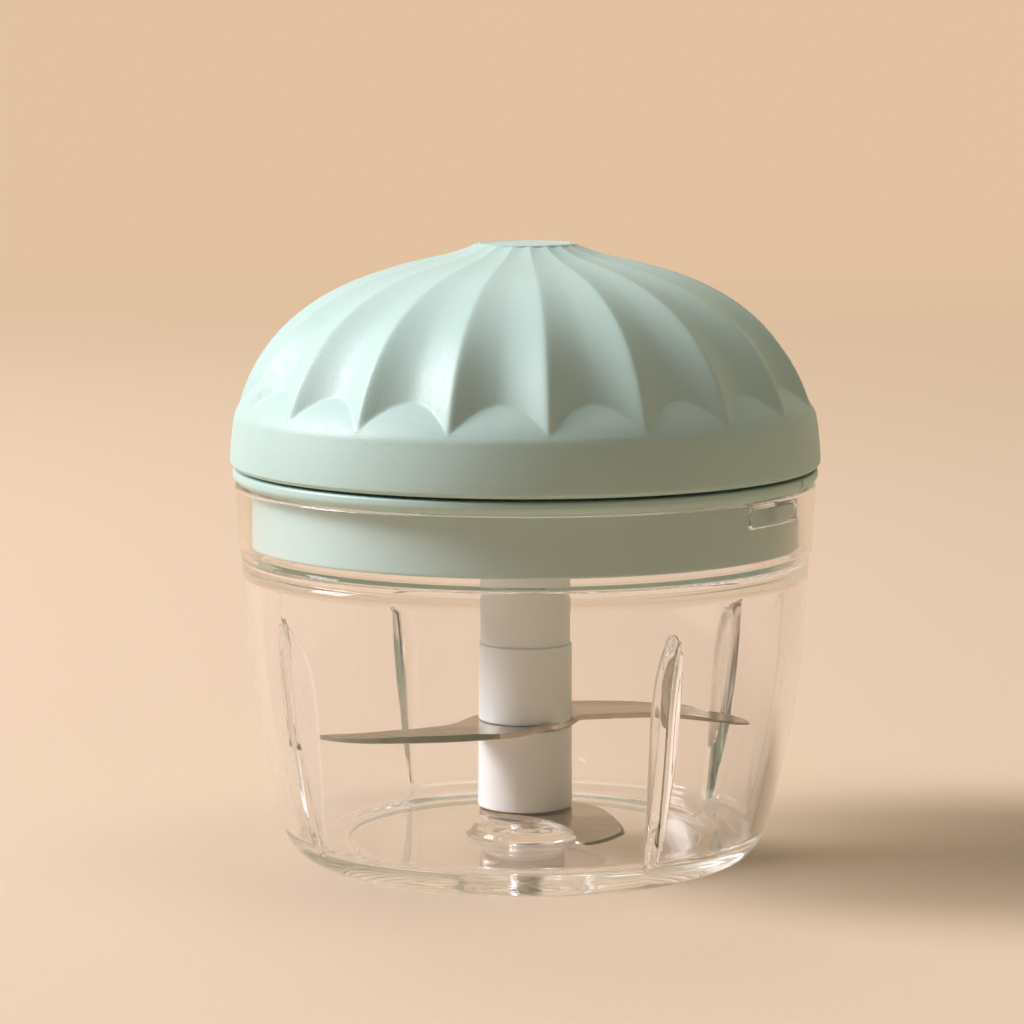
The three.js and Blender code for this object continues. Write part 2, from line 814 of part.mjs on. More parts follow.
// Ridge line from the disc out over the neck and down to the band, as [radius, height] pairs
function ridge_line(steps) {
  const neck_height = dome_top - neck_drop;
  const neck = new THREE.QuadraticBezierCurve(
    new THREE.Vector2(disc_radius, dome_top),
    new THREE.Vector2(
      disc_radius + (neck_radius - disc_radius) * (1 - neck_foot_share),
      neck_height + (neck_radius - disc_radius) * neck_foot_share * crown_slope_share,
    ),
    new THREE.Vector2(neck_radius, neck_height),
  );
  const crown = new THREE.CubicBezierCurve(
    new THREE.Vector2(neck_radius, neck_height),
    new THREE.Vector2(neck_radius + crown_run, neck_height - crown_run * crown_slope_share),
    new THREE.Vector2(dome_foot_radius - side_bow * side_slope_share, crease_height + side_bow),
    new THREE.Vector2(dome_foot_radius, crease_height),
  );
  return [...pairs(neck, corner_steps).slice(0, -1), ...pairs(crown, steps)];
}

// Depth of the flutes at an angle, from 0 on a ridge to 1 in the middle of a flute
function flute_share(angle) {
  const turns = (angle - heading(flute_angle)) / (2 * Math.PI) * flute_count;
  const place = turns - Math.floor(turns);
  return 1 - (2 * place - 1) ** 2;
}

function fluted_body() {
  const foot = dome_bottom + dome_band_round;
  const outline = [
    [0, dome_top],
    ...ridge_line(curve_steps + corner_steps),
    [dome_foot_radius, foot],
    [0, foot],
  ];
  const points = outline.reverse().map(([radius, height]) => new THREE.Vector2(radius, height));
  const geometry = new THREE.LatheGeometry(points, flute_count * flute_steps).rotateX(Math.PI / 2);
  geometry.rotateZ(radians(flute_angle));
  const position = geometry.attributes.position;
  for (let i = 0; i < position.count; i += 1) {
    const x = position.getX(i);
    const y = position.getY(i);
    const shrink = 1 - flute_depth_share * flute_share(Math.atan2(y, x));
    position.setXY(i, x * shrink, y * shrink);
  }
  return solid(geometry);
}

function band_body() {
  const shoulder = new THREE.QuadraticBezierCurve(
    new THREE.Vector2(dome_band_top_radius, crease_height),
    new THREE.Vector2(dome_band_top_radius - shoulder_bulge, crease_height + shoulder_height / 2),
    new THREE.Vector2(dome_band_top_radius - shoulder_run, crease_height + shoulder_height),
  );
  const widest = dome_bottom + 2 * dome_band_round;
  return turned([
    [0, dome_bottom],
    [dome_radius - dome_band_round, dome_bottom],
    [dome_radius, dome_bottom + dome_band_round],
    [dome_radius, widest],
    [dome_radius - dome_band_taper / 3, (widest + crease_height) / 2],
    ...pairs(shoulder, corner_steps),
    [0, crease_height + shoulder_height],
  ], band_sides);
}

// Space inside the dome: the valley line of the flutes moved in by the wall
function dome_cavity() {
  const inner_radius = dome_radius - dome_band_wall;
  const line = ridge_line(curve_steps).filter(([radius]) => radius > dome_tube_radius);
  const inside = line.map(([radius, height], i) => {
    const [next_radius, next_height] = line[Math.min(i + 1, line.length - 1)];
    const [last_radius, last_height] = line[Math.max(i - 1, 0)];
    const run = next_radius - last_radius;
    const drop = last_height - next_height;
    const length = Math.hypot(run, drop);
    const valley = radius * (1 - flute_depth_share);
    return [valley - dome_wall * drop / length, height - dome_wall * run / length];
  }).filter(([, height]) => height > crease_height);
  return turned([
    [0, dome_bottom - overrun],
    [inner_radius, dome_bottom - overrun],
    [inner_radius, crease_height - dome_band_wall],
    ...inside.reverse(),
    [0, inside[inside.length - 1][1]],
  ]);
}

function dome_shell() {
  const boss_bottom = gear_top + web_thickness + seat_gap;
  const disc = rod(disc_radius, dome_top - disc_height, dome_top, large_sides);
  const skin = joined(fluted_body(), band_body(), disc);
  const hollow = cut(skin, dome_cavity());
  const boss = rod(ring_boss_radius, boss_bottom, dome_top);
  const bosses = around(ring_boss_angles, ring_boss_circle, boss);
  const tube = rod(dome_tube_radius, dome_tube_bottom, dome_top);
  const hole_top = gear_top + screw_length;
  const screw_hole = rod(screw_hole_radius, boss_bottom - overrun, hole_top, screw_sides);
  return cut(
    joined(hollow, ...[tube, ...bosses].map((post) => post.intersect(skin))),
    rod(dome_tube_bore, dome_tube_bottom - overrun, mast_top + seat_gap),
    rod(screw_hole_radius + 2 * seat_gap, dome_ceiling - overrun, recess_floor + overrun),
    rod(screw_recess_radius, recess_floor, dome_top + overrun),
    rod(cap_radius + seat_gap, cap_seat - seat_gap, dome_top + overrun, large_sides),
    ...around(ring_boss_angles, ring_boss_circle, screw_hole),
  );
}

function dome_bush() {
  return ring(mast_bore_radius, dome_bush_radius, dome_bush_bottom, dome_bush_top);
}

function top_cap() {
  const top = cap_seat + cap_thickness;
  return turned([
    [0, cap_plug_bottom], [cap_plug_radius, cap_plug_bottom], [cap_plug_radius, cap_seat],
    [cap_radius, cap_seat], [cap_radius, top], [0, top],
  ]);
}

function thrust_washer() {
  const top = washer_bottom + washer_thickness;
  return ring(screw_hole_radius, washer_radius, washer_bottom, top);
}

// Assembly
const masher = new THREE.Group();

function add(name, body, material, radius = 0, angle = 0, height = 0) {
  const mesh = new THREE.Mesh(geometry_of(body), material);
  const turn = heading(angle);
  mesh.name = name;
  mesh.position.set(radius * Math.cos(turn), radius * Math.sin(turn), height);
  masher.add(mesh);
  return mesh;
}

add('bowl', bowl(), clear);
add('pivot_pin', pivot_pin(), steel);

add('pivot_bush', pivot_bush(), brass);
add('rotor_core', rotor_core(), acetal);
add('blade_lower', bent_plate(hook_plan_shares, hook_reach, hook_bottom, hook_bend_angle, 0), steel);
add('hub_lower', hub_sleeve(hub_foot_flare, hub_lower_bottom, hub_lower_top), white);
const blade = bent_plate(blade_plan_shares, blade_reach(), blade_bottom, blade_bend_angle, 1);
add('blade_upper', blade, steel);
add('hub_upper', hub_sleeve(0, hub_upper_bottom, hub_upper_top), white);
add('hub_collar', hub_collar(), white);

add('lid_seal', lid_seal(), silicone);
add('lid_base', lid_base(), mint);
add('shaft_bearing', shaft_bearing(), brass);
add('drive_shaft', drive_shaft(), steel);
add('shaft_clip', shaft_clip(), steel);
add('sun_gear', sun_gear(), acetal);
planet_angles().forEach((angle, i) => {
  const planet = add(`planet_gear_${i + 1}`, planet_gear(), acetal, carrier_radius, angle);
  planet.rotation.z = radians(angle);
  add(`planet_pin_${i + 1}`, planet_pin(), steel, carrier_radius, angle);
});
add('gear_cover', gear_cover(), acetal);
post_angles().forEach((angle, i) => {
  const height = cover_top + seat_gap;
  add(`cover_screw_${i + 1}`, screw(screw_length), steel, post_circle, angle, height);
});

add('dome_shell', dome_shell(), mint);
add('ring_gear', ring_gear(), acetal);
ring_boss_angles.forEach((angle, i) => {
  const height = gear_top - seat_gap;
  const held = add(`ring_screw_${i + 1}`, screw(screw_length), steel, ring_boss_circle, angle, height);
  held.rotation.x = Math.PI;
});
add('dome_bush', dome_bush(), brass);
add('thrust_washer', thrust_washer(), steel);
add('mast_screw', screw(mast_screw_length), steel, 0, 0, mast_screw_seat);
add('top_cap', top_cap(), mint);

export default masher;
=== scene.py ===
import json
import math

import bmesh
import bpy
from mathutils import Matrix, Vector


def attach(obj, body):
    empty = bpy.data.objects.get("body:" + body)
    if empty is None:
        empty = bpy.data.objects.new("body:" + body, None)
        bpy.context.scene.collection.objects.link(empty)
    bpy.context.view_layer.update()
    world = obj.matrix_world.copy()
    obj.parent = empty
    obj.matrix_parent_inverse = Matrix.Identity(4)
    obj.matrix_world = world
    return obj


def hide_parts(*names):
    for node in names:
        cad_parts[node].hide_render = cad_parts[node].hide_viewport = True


# Hand-twisted food masher: clear bowl, white hub with two steel blades, mint lid with a fluted dome.
# Lengths of the object are millimetres until a mesh is made. The camera, lamps and floor are in metres.
# Outlines are (radius, height) pairs, and a third number rounds that corner. Angles on the object are
# in degrees from the front, positive to the right.

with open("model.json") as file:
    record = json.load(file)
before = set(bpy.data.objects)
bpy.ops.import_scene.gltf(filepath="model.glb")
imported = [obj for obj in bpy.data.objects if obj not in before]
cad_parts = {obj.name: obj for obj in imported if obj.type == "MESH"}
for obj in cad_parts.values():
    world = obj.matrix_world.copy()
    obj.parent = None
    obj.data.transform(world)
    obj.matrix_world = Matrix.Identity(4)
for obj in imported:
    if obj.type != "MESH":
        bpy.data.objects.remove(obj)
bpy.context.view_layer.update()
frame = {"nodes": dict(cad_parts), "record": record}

MM = 0.001
AROUND = 192


# Camera and light

CAMERA_PLACE = (-0.00217, -0.62, 0.13753)
CAMERA_TILT = 7.457
LENS, SENSOR = 134.57, 36
LAMP_AIM = (0, 0, 0.05)
LAMP_DISTANCE = 2.4
DAYLIGHT = (0.96, 0.95, 1.0)


def add_camera():
    camera = bpy.data.cameras.new("camera")
    camera.sensor_width = SENSOR
    camera.lens = LENS
    camera_object = bpy.data.objects.new("camera", camera)
    camera_object.location = CAMERA_PLACE
    camera_object.rotation_euler = (math.radians(90 - CAMERA_TILT), 0, 0)
    bpy.context.scene.collection.objects.link(camera_object)
    bpy.context.scene.camera = camera_object


def add_lamp(name, azimuth, elevation, size, power, color):
    """A soft rectangular lamp that faces the middle of the object. Azimuth 0 is right, and 90 behind."""
    lamp = bpy.data.lights.new(name, "AREA")
    lamp.shape = "RECTANGLE"
    lamp.size, lamp.size_y = size
    lamp.energy = power
    lamp.color = color
    lamp_object = bpy.data.objects.new(name, lamp)
    turn, rise = math.radians(azimuth), math.radians(elevation)
    away = Vector((math.cos(turn) * math.cos(rise), math.sin(turn) * math.cos(rise), math.sin(rise)))
    lamp_object.location = Vector(LAMP_AIM) + away * LAMP_DISTANCE
    lamp_object.rotation_euler = away.to_track_quat("Z", "Y").to_euler()
    lamp_object.visible_camera = False
    bpy.context.scene.collection.objects.link(lamp_object)


# Node helpers

NOISE_LOW, NOISE_HIGH = 0.3, 0.7
METAL_SPREAD = 0.05
# Features a metre
FLOW_SCALE, CLOUD_SCALE = 55, 700
MARK_SCALE, STAIN_SCALE = 900, 90
WAVE_SCALE, FLOOR_SCALE = 60, 900


def node(tree, kind, settings=None, **inputs):
    """A new node. An input named _0 or _1 is found by its number, and any other by its name."""
    made = tree.nodes.new("ShaderNode" + kind)
    for key, value in (settings or {}).items():
        setattr(made, key, value)
    for key, value in inputs.items():
        socket = made.inputs[int(key[1:]) if key[0] == "_" else key.replace("_", " ")]
        if isinstance(value, bpy.types.NodeSocket):
            tree.links.new(value, socket)
        else:
            socket.default_value = value
    return made


def new_material(name):
    material = bpy.data.materials.new(name)
    material.use_nodes = True
    tree = material.node_tree
    tree.nodes.clear()
    return material, tree


def noise(tree, scale, detail=2.0, stretch=None, roughness=0.5):
    """Noise fixed to the piece, of about scale features a metre, as a number from 0 to 1."""
    place = node(tree, "TexCoord").outputs["Object"]
    if stretch:
        place = node(tree, "Mapping", Vector=place, Scale=stretch).outputs["Vector"]
    made = node(tree, "TexNoise", Vector=place, Scale=scale, Detail=detail, Roughness=roughness)
    return made.outputs["Fac"]


def mapped(tree, value, low, high):
    """A noise as a number from low to high."""
    made = node(tree, "MapRange", Value=value, From_Min=NOISE_LOW, From_Max=NOISE_HIGH,
                To_Min=low, To_Max=high)
    return made.outputs["Result"]


def ramp(tree, value, *stops):
    """A colour that follows a number, through two (place, colour) stops."""
    made = node(tree, "ValToRGB", Fac=value)
    for element, (place, color) in zip(made.color_ramp.elements, stops):
        element.position = place
        element.color = color + (1,)
    return made.outputs["Color"]


def shaded(tree, value, color, spread):
    """A colour that goes a little darker and lighter with a number from 0 to 1."""
    dark = tuple(c * (1 - spread) for c in color)
    light = tuple(min(1, c * (1 + spread)) for c in color)
    return ramp(tree, value, (NOISE_LOW, dark), (NOISE_HIGH, light))


def mix(tree, share, first, second):
    """The first shader where share is 0, the second where it is 1."""
    made = node(tree, "MixShader", Fac=share)
    tree.links.new(first.outputs[0], made.inputs[1])
    tree.links.new(second.outputs[0], made.inputs[2])
    return made


def calculated(tree, operation, first, second):
    return node(tree, "Math", {"operation": operation}, _0=first, _1=second).outputs[0]


def output(tree, shader):
    node(tree, "OutputMaterial", Surface=shader.outputs[0])


def moulded(name, color, roughness, grain, depth, spread=0.025, through=0.0):
    """Moulded plastic with a fine grain, faint flow marks and an uneven sheen.

    grain is in features a metre and depth in millimetres. through is the share of light that goes in.
    """
    material, tree = new_material(name)
    fine = noise(tree, grain, 3)
    flow = noise(tree, FLOW_SCALE, 4, (1, 1, 0.35))
    cloudy = noise(tree, CLOUD_SCALE, 2)
    bump = node(tree, "Bump", Height=fine, Strength=1.0, Distance=depth * MM)
    wave = node(tree, "Bump", Height=flow, Strength=0.25, Distance=0.1 * MM, Normal=bump.outputs["Normal"])
    shader = node(
        tree, "BsdfPrincipled", Base_Color=shaded(tree, flow, color, spread),
        Roughness=mapped(tree, cloudy, roughness * 0.88, roughness * 1.12), Normal=wave.outputs["Normal"],
        Subsurface_Weight=through, Subsurface_Scale=4 * MM,
    )
    output(tree, shader)
    return material


def metal(name, color, roughness, stretch, depth):
    """Ground or turned metal with fine marks, which are long along an axis whose stretch is small."""
    material, tree = new_material(name)
    marks = noise(tree, MARK_SCALE, 3, stretch, 0.65)
    stain = noise(tree, STAIN_SCALE, 3)
    bump = node(tree, "Bump", Height=marks, Strength=0.6, Distance=depth * MM)
    shader = node(
        tree, "BsdfPrincipled", Base_Color=shaded(tree, stain, color, METAL_SPREAD), Metallic=1.0,
        Roughness=mapped(tree, marks, roughness * 0.7, roughness * 1.3), Normal=bump.outputs["Normal"],
    )
    output(tree, shader)
    return material


def clear_plastic(name):
    """Clear plastic. Shadow and diffuse rays pass straight through it, so that light reaches the inside."""
    material, tree = new_material(name)
    waves = noise(tree, WAVE_SCALE, 2, (1, 1, 0.4))
    bump = node(tree, "Bump", Height=waves, Strength=0.3, Distance=0.02 * MM)
    shader = node(
        tree, "BsdfPrincipled", Base_Color=(0.975, 0.975, 0.985, 1), Roughness=0.015, IOR=1.49,
        Transmission_Weight=1.0, Normal=bump.outputs["Normal"],
    )
    passing = node(tree, "BsdfTransparent", Color=(0.995, 0.995, 0.995, 1))
    path = node(tree, "LightPath")
    for kind in ("Is Diffuse Ray", "Is Shadow Ray"):
        shader = mix(tree, path.outputs[kind], shader, passing)
    output(tree, shader)
    return material


MINT_COLOR = (0.485, 0.655, 0.605)

mint = moulded("mint_shell", MINT_COLOR, 0.47, 4500, 0.045)
smooth_mint = moulded("mint_lid", MINT_COLOR, 0.38, 4200, 0.01)
white = moulded("white_hub", (0.89, 0.89, 0.89), 0.36, 3000, 0.006, 0.01, through=0.15)
acetal = moulded("gear_plastic", (0.8, 0.79, 0.74), 0.45, 2500, 0.01, 0.02)
silicone = moulded("seal_silicone", (0.46, 0.6, 0.52), 0.6, 1500, 0.01)
blade_steel = metal("blade_steel", (0.5, 0.45, 0.38), 0.22, (0.06, 1, 1), 0.004)
# The ground bevels' steel is rougher, and its dark olive colour is a painted reflection of the shaded lid
# above the blades.
ground_steel_painted_reflection = metal("ground_steel_painted_reflection", (0.23, 0.21, 0.155), 0.38, (1, 0.06, 1), 0.006)
bright_steel = metal("bright_steel", (0.6, 0.6, 0.6), 0.24, (1, 1, 6), 0.003)
brass = metal("brass_bush", (0.75, 0.6, 0.32), 0.28, (1, 1, 6), 0.003)
clear = clear_plastic("clear_bowl")


# Outlines

def heading(angle):
    """An angle from the front, in radians from the x axis."""
    return math.radians(angle - 90)


def bearing_gap(angle, centre):
    """How far an angle lies from another, from -180 up to 180 degrees."""
    return (angle - centre + 180) % 360 - 180


def bezier(points, count):
    """Points on a Bezier curve, both ends included."""
    made = []
    for i in range(count + 1):
        t = i / count
        level = list(points)
        while len(level) > 1:
            level = [
                tuple(a + (b - a) * t for a, b in zip(p, q)) for p, q in zip(level, level[1:])
            ]
        made.append(level[0])
    return made


def spline(points, count):
    """A smooth curve through points, count steps between each two."""
    padded = [points[0], *points, points[-1]]
    made = []
    for a, b, c, d in zip(padded, padded[1:], padded[2:], padded[3:]):
        for i in range(count):
            t = i / count
            made.append(tuple(
                0.5 * (2 * q + (r - p) * t + (2 * p - 5 * q + 4 * r - s) * t ** 2
                       + (3 * q - p - 3 * r + s) * t ** 3)
                for p, q, r, s in zip(a, b, c, d)
            ))
    return made + [points[-1]]


LONGEST_ROUND, BESIDE = 0.45, 0.08


def rounded(corners, closed=False, steps=5):
    """An outline whose corners are rounded by their third number, with a point beside each curve.

    A curve takes up LONGEST_ROUND of a side at most.
    """
    made = []
    for i, corner in enumerate(corners):
        size = corner[2] if len(corner) > 2 else 0
        here = Vector(corner[:2])
        if not size or (not closed and i in (0, len(corners) - 1)):
            made.append(tuple(here))
            continue
        before = Vector(corners[i - 1][:2]) - here
        after = Vector(corners[(i + 1) % len(corners)][:2]) - here
        start = here + before.normalized() * min(size, before.length * LONGEST_ROUND)
        end = here + after.normalized() * min(size, after.length * LONGEST_ROUND)
        made.append(tuple(start + (start - here) * BESIDE))
        made.extend(bezier([tuple(start), tuple(here), tuple(end)], steps))
        made.append(tuple(end + (end - here) * BESIDE))
    return made


def smooth_step(low, high, value):
    share = min(1, max(0, (value - low) / (high - low)))
    return share * share * (3 - 2 * share)


def along(line, share):
    """The point at a share of a line's length."""
    lengths = [math.dist(a, b) for a, b in zip(line, line[1:])]
    left = share * sum(lengths)
    for (a, b), length in zip(zip(line, line[1:]), lengths):
        if left <= length and length > 0:
            return tuple(p + (q - p) * left / length for p, q in zip(a, b))
        left -= length
    return line[-1]


# Meshes

def mesh_of(name, mesh_data):
    mesh = bpy.data.meshes.new(name)
    mesh_data.to_mesh(mesh)
    mesh_data.free()
    return mesh


def finished(name, mesh_data, body, materials, replaced, sharp=32):
    """Makes an object of a bmesh, hangs it on its body and hides the CAD part that it takes the place of.
    """
    bmesh.ops.recalc_face_normals(mesh_data, faces=mesh_data.faces)
    mesh = mesh_of(name, mesh_data)
    for polygon in mesh.polygons:
        polygon.use_smooth = True
    mesh.set_sharp_from_angle(angle=math.radians(sharp))
    for material in materials:
        mesh.materials.append(material)
    made = bpy.data.objects.new(name, mesh)
    bpy.context.scene.collection.objects.link(made)
    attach(made, body)
    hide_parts(replaced)


def loft(mesh_data, angles, outlines, closed):
    """Skin over one outline for each angle. An open outline starts and ends on the axis."""
    rows = len(outlines[0])
    grid = []
    for angle, outline in zip(angles, outlines):
        turn = heading(angle)
        column = []
        for i, (radius, height) in enumerate(outline):
            if not closed and grid and i in (0, rows - 1):
                column.append(grid[0][i])
                continue
            place = (radius * math.cos(turn) * MM, radius * math.sin(turn) * MM, height * MM)
            column.append(mesh_data.verts.new(place))
        grid.append(column)
    for j, column in enumerate(grid):
        other = grid[(j + 1) % len(grid)]
        for i in range(rows if closed else rows - 1):
            k = (i + 1) % rows
            corners = [column[i], other[i], other[k], column[k]]
            face = [v for n, v in enumerate(corners) if v is not corners[n - 1]]
            if len(face) > 2:
                mesh_data.faces.new(face)


def turned(name, corners, body, material, replaced, closed=True, count=AROUND // 2):
    """A piece turned about the axis."""
    outline = rounded(corners, closed)
    mesh_data = bmesh.new()
    loft(mesh_data, [i * 360 / count for i in range(count)], [outline] * count, closed)
    finished(name, mesh_data, body, [material], replaced)


def shaped(name, angles, outline_at, body, material, replaced, closed=True):
    """A piece whose outline changes with the angle."""
    mesh_data = bmesh.new()
    loft(mesh_data, angles, [outline_at(angle) for angle in angles], closed)
    finished(name, mesh_data, body, [material], replaced)


def angle_list(count, centres=(), offsets=()):
    """Even angles, with finer ones round some centres in place of the even ones there."""
    reach = max(offsets, default=0)
    even = [i * 360 / count for i in range(count)]
    kept = [a for a in even if all(abs(bearing_gap(a, c)) > reach for c in centres)]
    fine = [(c + side * o) % 360 for c in centres for o in offsets for side in (-1, 1)]
    return sorted({round(a, 4) for a in kept + fine})


def thinned(angles, least):
    """Angles without those that lie closer than least to the next one."""
    return [a for n, a in enumerate(angles) if (angles[(n + 1) % len(angles)] - a) % 360 > least]


# Bowl

RIM_RADIUS, RIM_HEIGHT = 47.3, 61.6
BORE_RADIUS = 45.1
LEDGE_HEIGHT = 50
WALL = 2.6
WALL_FOOT_RADIUS, WALL_FOOT_HEIGHT = 40.16, 6.1
WALL_BOW_HEIGHT = 28.05
FOOT_RADIUS, FOOT_INNER, FOOT_HOLLOW = 32.8, 29.6, 0.9
FLOOR_RADIUS, FLOOR_EDGE_HEIGHT = 32, 4.25
FLOOR_HEIGHT = 3.46
PIN_HOLE_RADIUS, PIN_HOLE_FLOOR = 2.3, 2.2
RIB_ANGLES = (31, 121, 211, 301)
RIB_HALF_WIDTH = 1.3
RIB_TOP = 42.6
RIB_FOOT_RADIUS = 35.7
RIB_RADIUS = 38  # where a rib's width is measured
RIB_SIDE_OUT, RIB_SIDE_IN = 0.25, 0.05
POCKET_ANGLES = (62, 242)
POCKET_DEPTH = 1.0
POCKET_FLOOR, POCKET_ROOF, POCKET_CORNER = 57.7, 60.8, 0.8
POCKET_END, ENTRY_HALF = 10.63, 3.54
ENTRY_TOP = 66
POCKET_SOFT = 0.12
BEAD_END = 47.4


def wall_line(inset, count):
    """The wall's face from its foot up to the ledge."""
    return bezier([
        (WALL_FOOT_RADIUS - inset, WALL_FOOT_HEIGHT), (45.49 - inset, WALL_BOW_HEIGHT),
        (45.0 - inset, WALL_BOW_HEIGHT), (46.3 - inset, LEDGE_HEIGHT),
    ], count)


def pocket_share(angle, height):
    """1 inside a bayonet track of the rim, 0 outside it."""
    share = 0
    for centre in POCKET_ANGLES:
        across = math.radians(bearing_gap(angle, centre)) * BORE_RADIUS
        track, entry = (-POCKET_END, ENTRY_HALF, POCKET_ROOF), (-ENTRY_HALF, ENTRY_HALF, ENTRY_TOP)
        for left, right, high in (track, entry):
            low, corner = POCKET_FLOOR, POCKET_CORNER
            x = abs(across - (left + right) / 2) - (right - left) / 2 + corner
            y = abs(height - (low + high) / 2) - (high - low) / 2 + corner
            away = math.hypot(max(x, 0), max(y, 0)) + min(max(x, y), 0) - corner
            share = max(share, smooth_step(POCKET_SOFT, -POCKET_SOFT, away))
    return share


def bowl_outside():
    """From the middle of the underside over the foot ring and up to the rim."""
    foot = [(0, FOOT_HOLLOW), (FOOT_INNER, FOOT_HOLLOW, 0.4), (FOOT_INNER, 0, 0.35), (FOOT_RADIUS, 0)]
    corner = bezier([(FOOT_RADIUS, 0), (38.68, 0), (WALL_FOOT_RADIUS, WALL_FOOT_HEIGHT)], 14)[1:-1]
    band = rounded([
        (46.25, 49.2), (46.3, LEDGE_HEIGHT, 0.35), (46.8, 51.2, 0.4), (RIM_RADIUS, RIM_HEIGHT, 0.5),
        (45.3, RIM_HEIGHT),
    ])
    return rounded(foot) + corner + wall_line(0, 34)[:-1] + band[1:-1]


def bowl_bore():
    """From the rim down the bore, with fine rows at the tracks, and over the ledge's bead."""
    heights = (61.25, 61.1, 60.98, 60.89, 60.8, 60.71, 60.62, 60.4, 60.0, 59.2, 58.4, 58.1, 57.95,
               57.85, 57.78, 57.7, 57.62, 57.55, 57.4, 57.1, 56, 54, 52, 50.8)
    rim = rounded([(46.4, RIM_HEIGHT), (BORE_RADIUS, RIM_HEIGHT, 0.25), (BORE_RADIUS, 60)])[1:-1]
    ledge = rounded([
        (BORE_RADIUS, 51), (BORE_RADIUS, LEDGE_HEIGHT, 0.4), (43.4, LEDGE_HEIGHT, 0.5), (43.1, 48.9, 0.6),
        (43.56, BEAD_END + 0.2),
    ])
    return rim + [(BORE_RADIUS, z) for z in heights] + ledge[1:-1]


def bowl_inside():
    """The inner face from the ledge down to the floor's step."""
    wall = wall_line(WALL, 80)[::-1]
    corner = bezier([(37.56, WALL_FOOT_HEIGHT), (37.56, 4.3), (FLOOR_RADIUS, FLOOR_EDGE_HEIGHT)], 12)
    return [p for p in wall if p[1] < BEAD_END] + corner[1:]


def bowl_floor():
    """From the floor's step over the boss and down into the pin's hole."""
    return rounded([
        (FLOOR_RADIUS, FLOOR_EDGE_HEIGHT), (31, 4.17, 0.9), (29.1, FLOOR_HEIGHT, 0.9),
        (9.4, FLOOR_HEIGHT, 0.5), (8.5, 4.9, 0.7), (5.6, 5.21, 0.4), (4.8, 5.81, 0.3),
        (PIN_HOLE_RADIUS, 5.81, 0.15), (PIN_HOLE_RADIUS, PIN_HOLE_FLOOR, 0.2), (0, PIN_HOLE_FLOOR),
    ])[1:]


def rib_edge():
    """The rib's inner edge, from the wall at its top down to the floor."""
    return spline([
        (43.35, RIB_TOP), (42.95, 41.9), (42.4, 41.05), (41.5, 39.8), (40.5, 38.1), (39.4, 35.2),
        (38.6, 31.8), (38, 28), (37.5, 21.5), (36.7, 12), (36.1, 6), (36, 4.6), (RIB_FOOT_RADIUS, 4.31),
    ], 6)


def rib_weight(across, depth):
    """How far a rib stands out beside its middle, as a share of its depth: a round nose on steep sides."""
    nose = RIB_HALF_WIDTH - math.sqrt(max(0, RIB_HALF_WIDTH ** 2 - across ** 2))
    side = smooth_step(RIB_HALF_WIDTH + RIB_SIDE_OUT, RIB_HALF_WIDTH - RIB_SIDE_IN, across)
    return max(0, 1 - nose / max(depth, 0.01)) * side


def make_bowl():
    outside, bore, inside, floor = bowl_outside(), bowl_bore(), bowl_inside(), bowl_floor()
    ribbed = [i for i, (r, z) in enumerate(inside) if z < RIB_TOP and r > RIB_FOOT_RADIUS]
    first, last = ribbed[0] - 1, ribbed[-1] + 1
    span = inside[first:last + 1]
    total = sum(math.dist(a, b) for a, b in zip(span, span[1:]))
    edge = rib_edge()
    run, shares = 0, [0]
    for a, b in zip(span, span[1:]):
        run += math.dist(a, b)
        shares.append(run / total)
    rib = [along(edge, share) for share in shares]

    def outline_at(angle):
        pocket = [(r + POCKET_DEPTH * pocket_share(angle, z), z) for r, z in bore]
        across = min(abs(math.radians(bearing_gap(angle, a))) * RIB_RADIUS for a in RIB_ANGLES)
        face = list(inside)
        for n, point in enumerate(rib):
            wall = inside[first + n]
            weight = rib_weight(across, math.dist(wall, point))
            face[first + n] = tuple(a + (b - a) * weight for a, b in zip(wall, point))
        return outside + pocket + face + floor

    rib_offsets = [math.degrees(x / RIB_RADIUS) for x in
                   (0, 0.25, 0.48, 0.68, 0.85, 0.98, 1.09, 1.17, 1.24, 1.3, 1.36, 1.43, 1.5, 1.6, 1.8, 2.4)]
    edges = [(c + math.degrees(x / BORE_RADIUS)) % 360
             for c in POCKET_ANGLES for x in (-POCKET_END, -ENTRY_HALF, ENTRY_HALF)]
    edge_offsets = [math.degrees(x / BORE_RADIUS) for x in (0, 0.06, 0.13, 0.22, 0.35, 0.5, 0.7)]
    angles = angle_list(AROUND + AROUND // 2, RIB_ANGLES, rib_offsets)
    fine = angle_list(1, edges, edge_offsets)
    angles = thinned(sorted(set(angles) | set(fine)), 0.02)
    shaped("bowl_body", angles, outline_at, "bowl", clear, "bowl", False)


make_bowl()


# Lid base: flange with the seal's groove, skirt, deck, tube and two bayonet lugs

LUG_HALF_ANGLE, LUG_REACH = 3.8, 1.5
LUG_BOTTOM, LUG_TOP, LUG_SOFT, LUG_SIDE_SOFT = 58, 60.5, 0.07, 0.12
NOTCH_ANGLE, NOTCH_DEPTH, NOTCH_HALF, NOTCH_FLAT = 67, 0.6, 0.5, 0.25
SKIRT_RADIUS, SKIRT_INNER, SKIRT_BOTTOM = 44.3, 42.1, 51.9
FLANGE_RADIUS, FLANGE_BOTTOM, DECK_TOP = 47.6, 61.9, 64
DECK_BOTTOM = 62
GROOVE_INNER, GROOVE_OUTER, GROOVE_ROOF = 44.8, 46.2, 63.1
GUIDE_RADIUS, GUIDE_INNER, GUIDE_TOP = 44.9, 43.3, 66.4
TUBE_RADIUS, TUBE_BORE, TUBE_BOTTOM = 7.6, 5.4, 55.5


